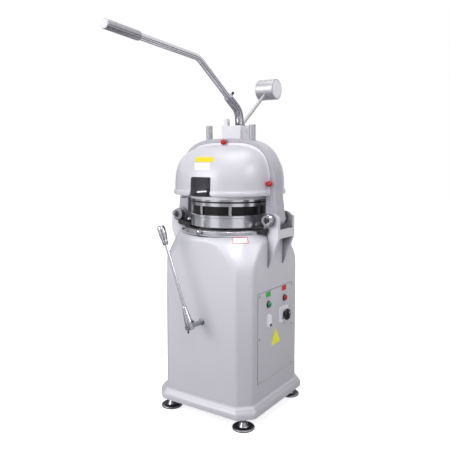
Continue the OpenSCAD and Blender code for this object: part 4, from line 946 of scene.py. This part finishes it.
def area_light(name, place, aim, size, power, spread=180):
    """Lamp aimed at a point: places and sizes in metres, power in watts, spread in degrees."""
    data = bpy.data.lights.new(name, "AREA")
    data.shape = "RECTANGLE"
    data.size, data.size_y = size
    data.energy = power
    data.spread = math.radians(spread)
    lamp = bpy.data.objects.new(name, data)
    bpy.context.scene.collection.objects.link(lamp)
    lamp.location = place
    lamp.rotation_euler = (Vector(aim) - Vector(place)).to_track_quat("-Z", "Y").to_euler()


area_light("key_light", (-1.9, -4.2, 2.7), (0, 0, 0.7), (3.0, 3.0), 122)
area_light("side_light", (2.0, -1.6, 3.9), (0.1, -0.2, 1.15), (2.6, 2.6), 3.6, 120)
area_light("shoulder_light", (1.7, -2.2, 3.2), (0.15, -0.22, 0.8), (0.5, 0.4), 0.28, 14)
area_light("head_light", (2.4, -0.2, 2.2), (0, -0.05, 1.34), (0.8, 0.8), 6.8, 120)
area_light("top_light", (0.2, -0.2, 4.4), (0.1, 0, 0.7), (2.8, 2.8), 62)


def mirror_only(name, verts, faces, level):
    """Plain glowing sheet that only mirror rays meet."""
    mesh = bpy.data.meshes.new(name)
    mesh.from_pydata(verts, [], faces)
    mat = bpy.data.materials.new(name)
    mat.use_nodes = True
    tree = mat.node_tree
    tree.nodes.clear()
    glow = tree.nodes.new("ShaderNodeEmission")
    glow.inputs["Color"].default_value = (level, level, level, 1)
    out = tree.nodes.new("ShaderNodeOutputMaterial")
    tree.links.new(glow.outputs[0], out.inputs["Surface"])
    mat.cycles.emission_sampling = "NONE"
    mesh.materials.append(mat)
    card = bpy.data.objects.new(name, mesh)
    bpy.context.scene.collection.objects.link(card)
    card.visible_camera = False
    card.visible_diffuse = False
    card.visible_shadow = False
    card.visible_transmission = False


CARD_LOW = -0.5
CARD_DISTANCE = 6.5


def dark_card(name, start, end, high, level):
    """Curved card round the object between two angles, for the bands in the chrome."""
    verts = []
    faces = []
    steps = 8
    for k in range(steps + 1):
        a = math.radians(start + (end - start) * k / steps)
        for z in (CARD_LOW, high):
            verts.append((CARD_DISTANCE * math.cos(a), CARD_DISTANCE * math.sin(a), z))
    for k in range(steps):
        faces.append((2 * k, 2 * k + 2, 2 * k + 3, 2 * k + 1))
    mirror_only(name, verts, faces, level)


# Start and end angle, upper edge and brightness of each card
CARDS = {
    "flag_right_front": (-18, 0, 2.5, 0.05),
    "flag_right": (24, 80, 2.0, 0.06),
    "flag_behind": (95, 186, 2.5, 0.12),
    "flag_front": (-88, -50, 2.5, 0.4),
    "flag_face": (-134, -114, 2.5, 0.3),
    "flag_left": (-172, -146, 2.5, 0.4),
}
for card_name, card_values in CARDS.items():
    dark_card(card_name, *card_values)


def floor_flag():
    """Grey disc on the floor that only mirror rays meet, for the dark undersides in the chrome."""
    steps = 60
    radius = 3.4
    height = 0.0005
    rim = []
    for k in range(steps):
        a = math.radians(360 / steps * k)
        rim.append((radius * math.cos(a), radius * math.sin(a), height))
    mirror_only("flag_floor", rim, [tuple(range(steps))], 0.3)


def seen_white(tree, seen, plain):
    """Mix two shaders: the first for camera, mirror and glass rays, the second for the rest."""
    path = tree.nodes.new("ShaderNodeLightPath")
    camera_or_glossy = tree.nodes.new("ShaderNodeMath")
    camera_or_glossy.operation = "MAXIMUM"
    tree.links.new(path.outputs["Is Camera Ray"], camera_or_glossy.inputs[0])
    tree.links.new(path.outputs["Is Glossy Ray"], camera_or_glossy.inputs[1])
    any_seen = tree.nodes.new("ShaderNodeMath")
    any_seen.operation = "MAXIMUM"
    tree.links.new(camera_or_glossy.outputs[0], any_seen.inputs[0])
    tree.links.new(path.outputs["Is Transmission Ray"], any_seen.inputs[1])
    mix = tree.nodes.new("ShaderNodeMixShader")
    tree.links.new(any_seen.outputs[0], mix.inputs[0])
    tree.links.new(plain, mix.inputs[1])
    tree.links.new(seen, mix.inputs[2])
    return mix


def white_world():
    """White surroundings for the camera and mirror rays, dimmer as a light."""
    world = bpy.data.worlds.new("studio")
    bpy.context.scene.world = world
    world.use_nodes = True
    tree = world.node_tree
    tree.nodes.clear()
    seen = tree.nodes.new("ShaderNodeBackground")
    seen.inputs["Color"].default_value = (1, 1, 1, 1)
    seen.inputs["Strength"].default_value = 1.0
    plain = tree.nodes.new("ShaderNodeBackground")
    plain.inputs["Color"].default_value = (1, 1, 1, 1)
    plain.inputs["Strength"].default_value = 0.33
    mix = seen_white(tree, seen.outputs[0], plain.outputs[0])
    out = tree.nodes.new("ShaderNodeOutputWorld")
    tree.links.new(mix.outputs[0], out.inputs["Surface"])


def white_floor():
    """Pale floor that glows to white away from the object and keeps its shadow."""
    mesh = bpy.data.meshes.new("floor")
    half = 14.0
    z = -0.001
    mesh.from_pydata([(-half, -half, z), (half, -half, z), (half, half, z), (-half, half, z)], [],
                     [(0, 1, 2, 3)])
    floor = bpy.data.objects.new("floor", mesh)
    bpy.context.scene.collection.objects.link(floor)
    mat = bpy.data.materials.new("floor")
    mat.use_nodes = True
    tree = mat.node_tree
    tree.nodes.clear()
    coords = tree.nodes.new("ShaderNodeTexCoord")
    distance = tree.nodes.new("ShaderNodeVectorMath")
    distance.operation = "LENGTH"
    tree.links.new(coords.outputs["Object"], distance.inputs[0])
    level = tree.nodes.new("ShaderNodeMapRange")
    level.inputs["From Min"].default_value = 0.3
    level.inputs["From Max"].default_value = 1.6
    level.inputs["To Min"].default_value = 0.74
    level.inputs["To Max"].default_value = 1.0
    tree.links.new(distance.outputs["Value"], level.inputs["Value"])
    glow = tree.nodes.new("ShaderNodeEmission")
    tree.links.new(level.outputs["Result"], glow.inputs["Strength"])
    matt = tree.nodes.new("ShaderNodeBsdfDiffuse")
    matt.inputs["Color"].default_value = (0.8, 0.8, 0.8, 1)
    both = tree.nodes.new("ShaderNodeAddShader")
    tree.links.new(glow.outputs[0], both.inputs[0])
    tree.links.new(matt.outputs[0], both.inputs[1])
    mix = seen_white(tree, both.outputs[0], matt.outputs[0])
    out = tree.nodes.new("ShaderNodeOutputMaterial")
    tree.links.new(mix.outputs[0], out.inputs["Surface"])
    mesh.materials.append(mat)


floor_flag()
white_world()
white_floor()


# Camera fitted to the photo

LOOK_DOWN = 4.94
LOOK_TURN = 33.84
camera_data = bpy.data.cameras.new("camera")
camera_data.lens = 44.21
camera_data.sensor_width = 36
camera_data.shift_x = -0.0154
camera_data.shift_y = -0.0454
camera = bpy.data.objects.new("camera", camera_data)
camera.location = (1.628, -2.428, 1.322)
camera.rotation_euler = (math.radians(90 - LOOK_DOWN), 0, math.radians(LOOK_TURN))
bpy.context.scene.collection.objects.link(camera)
bpy.context.scene.camera = camera
bpy.context.scene.view_settings.view_transform = "Standard"
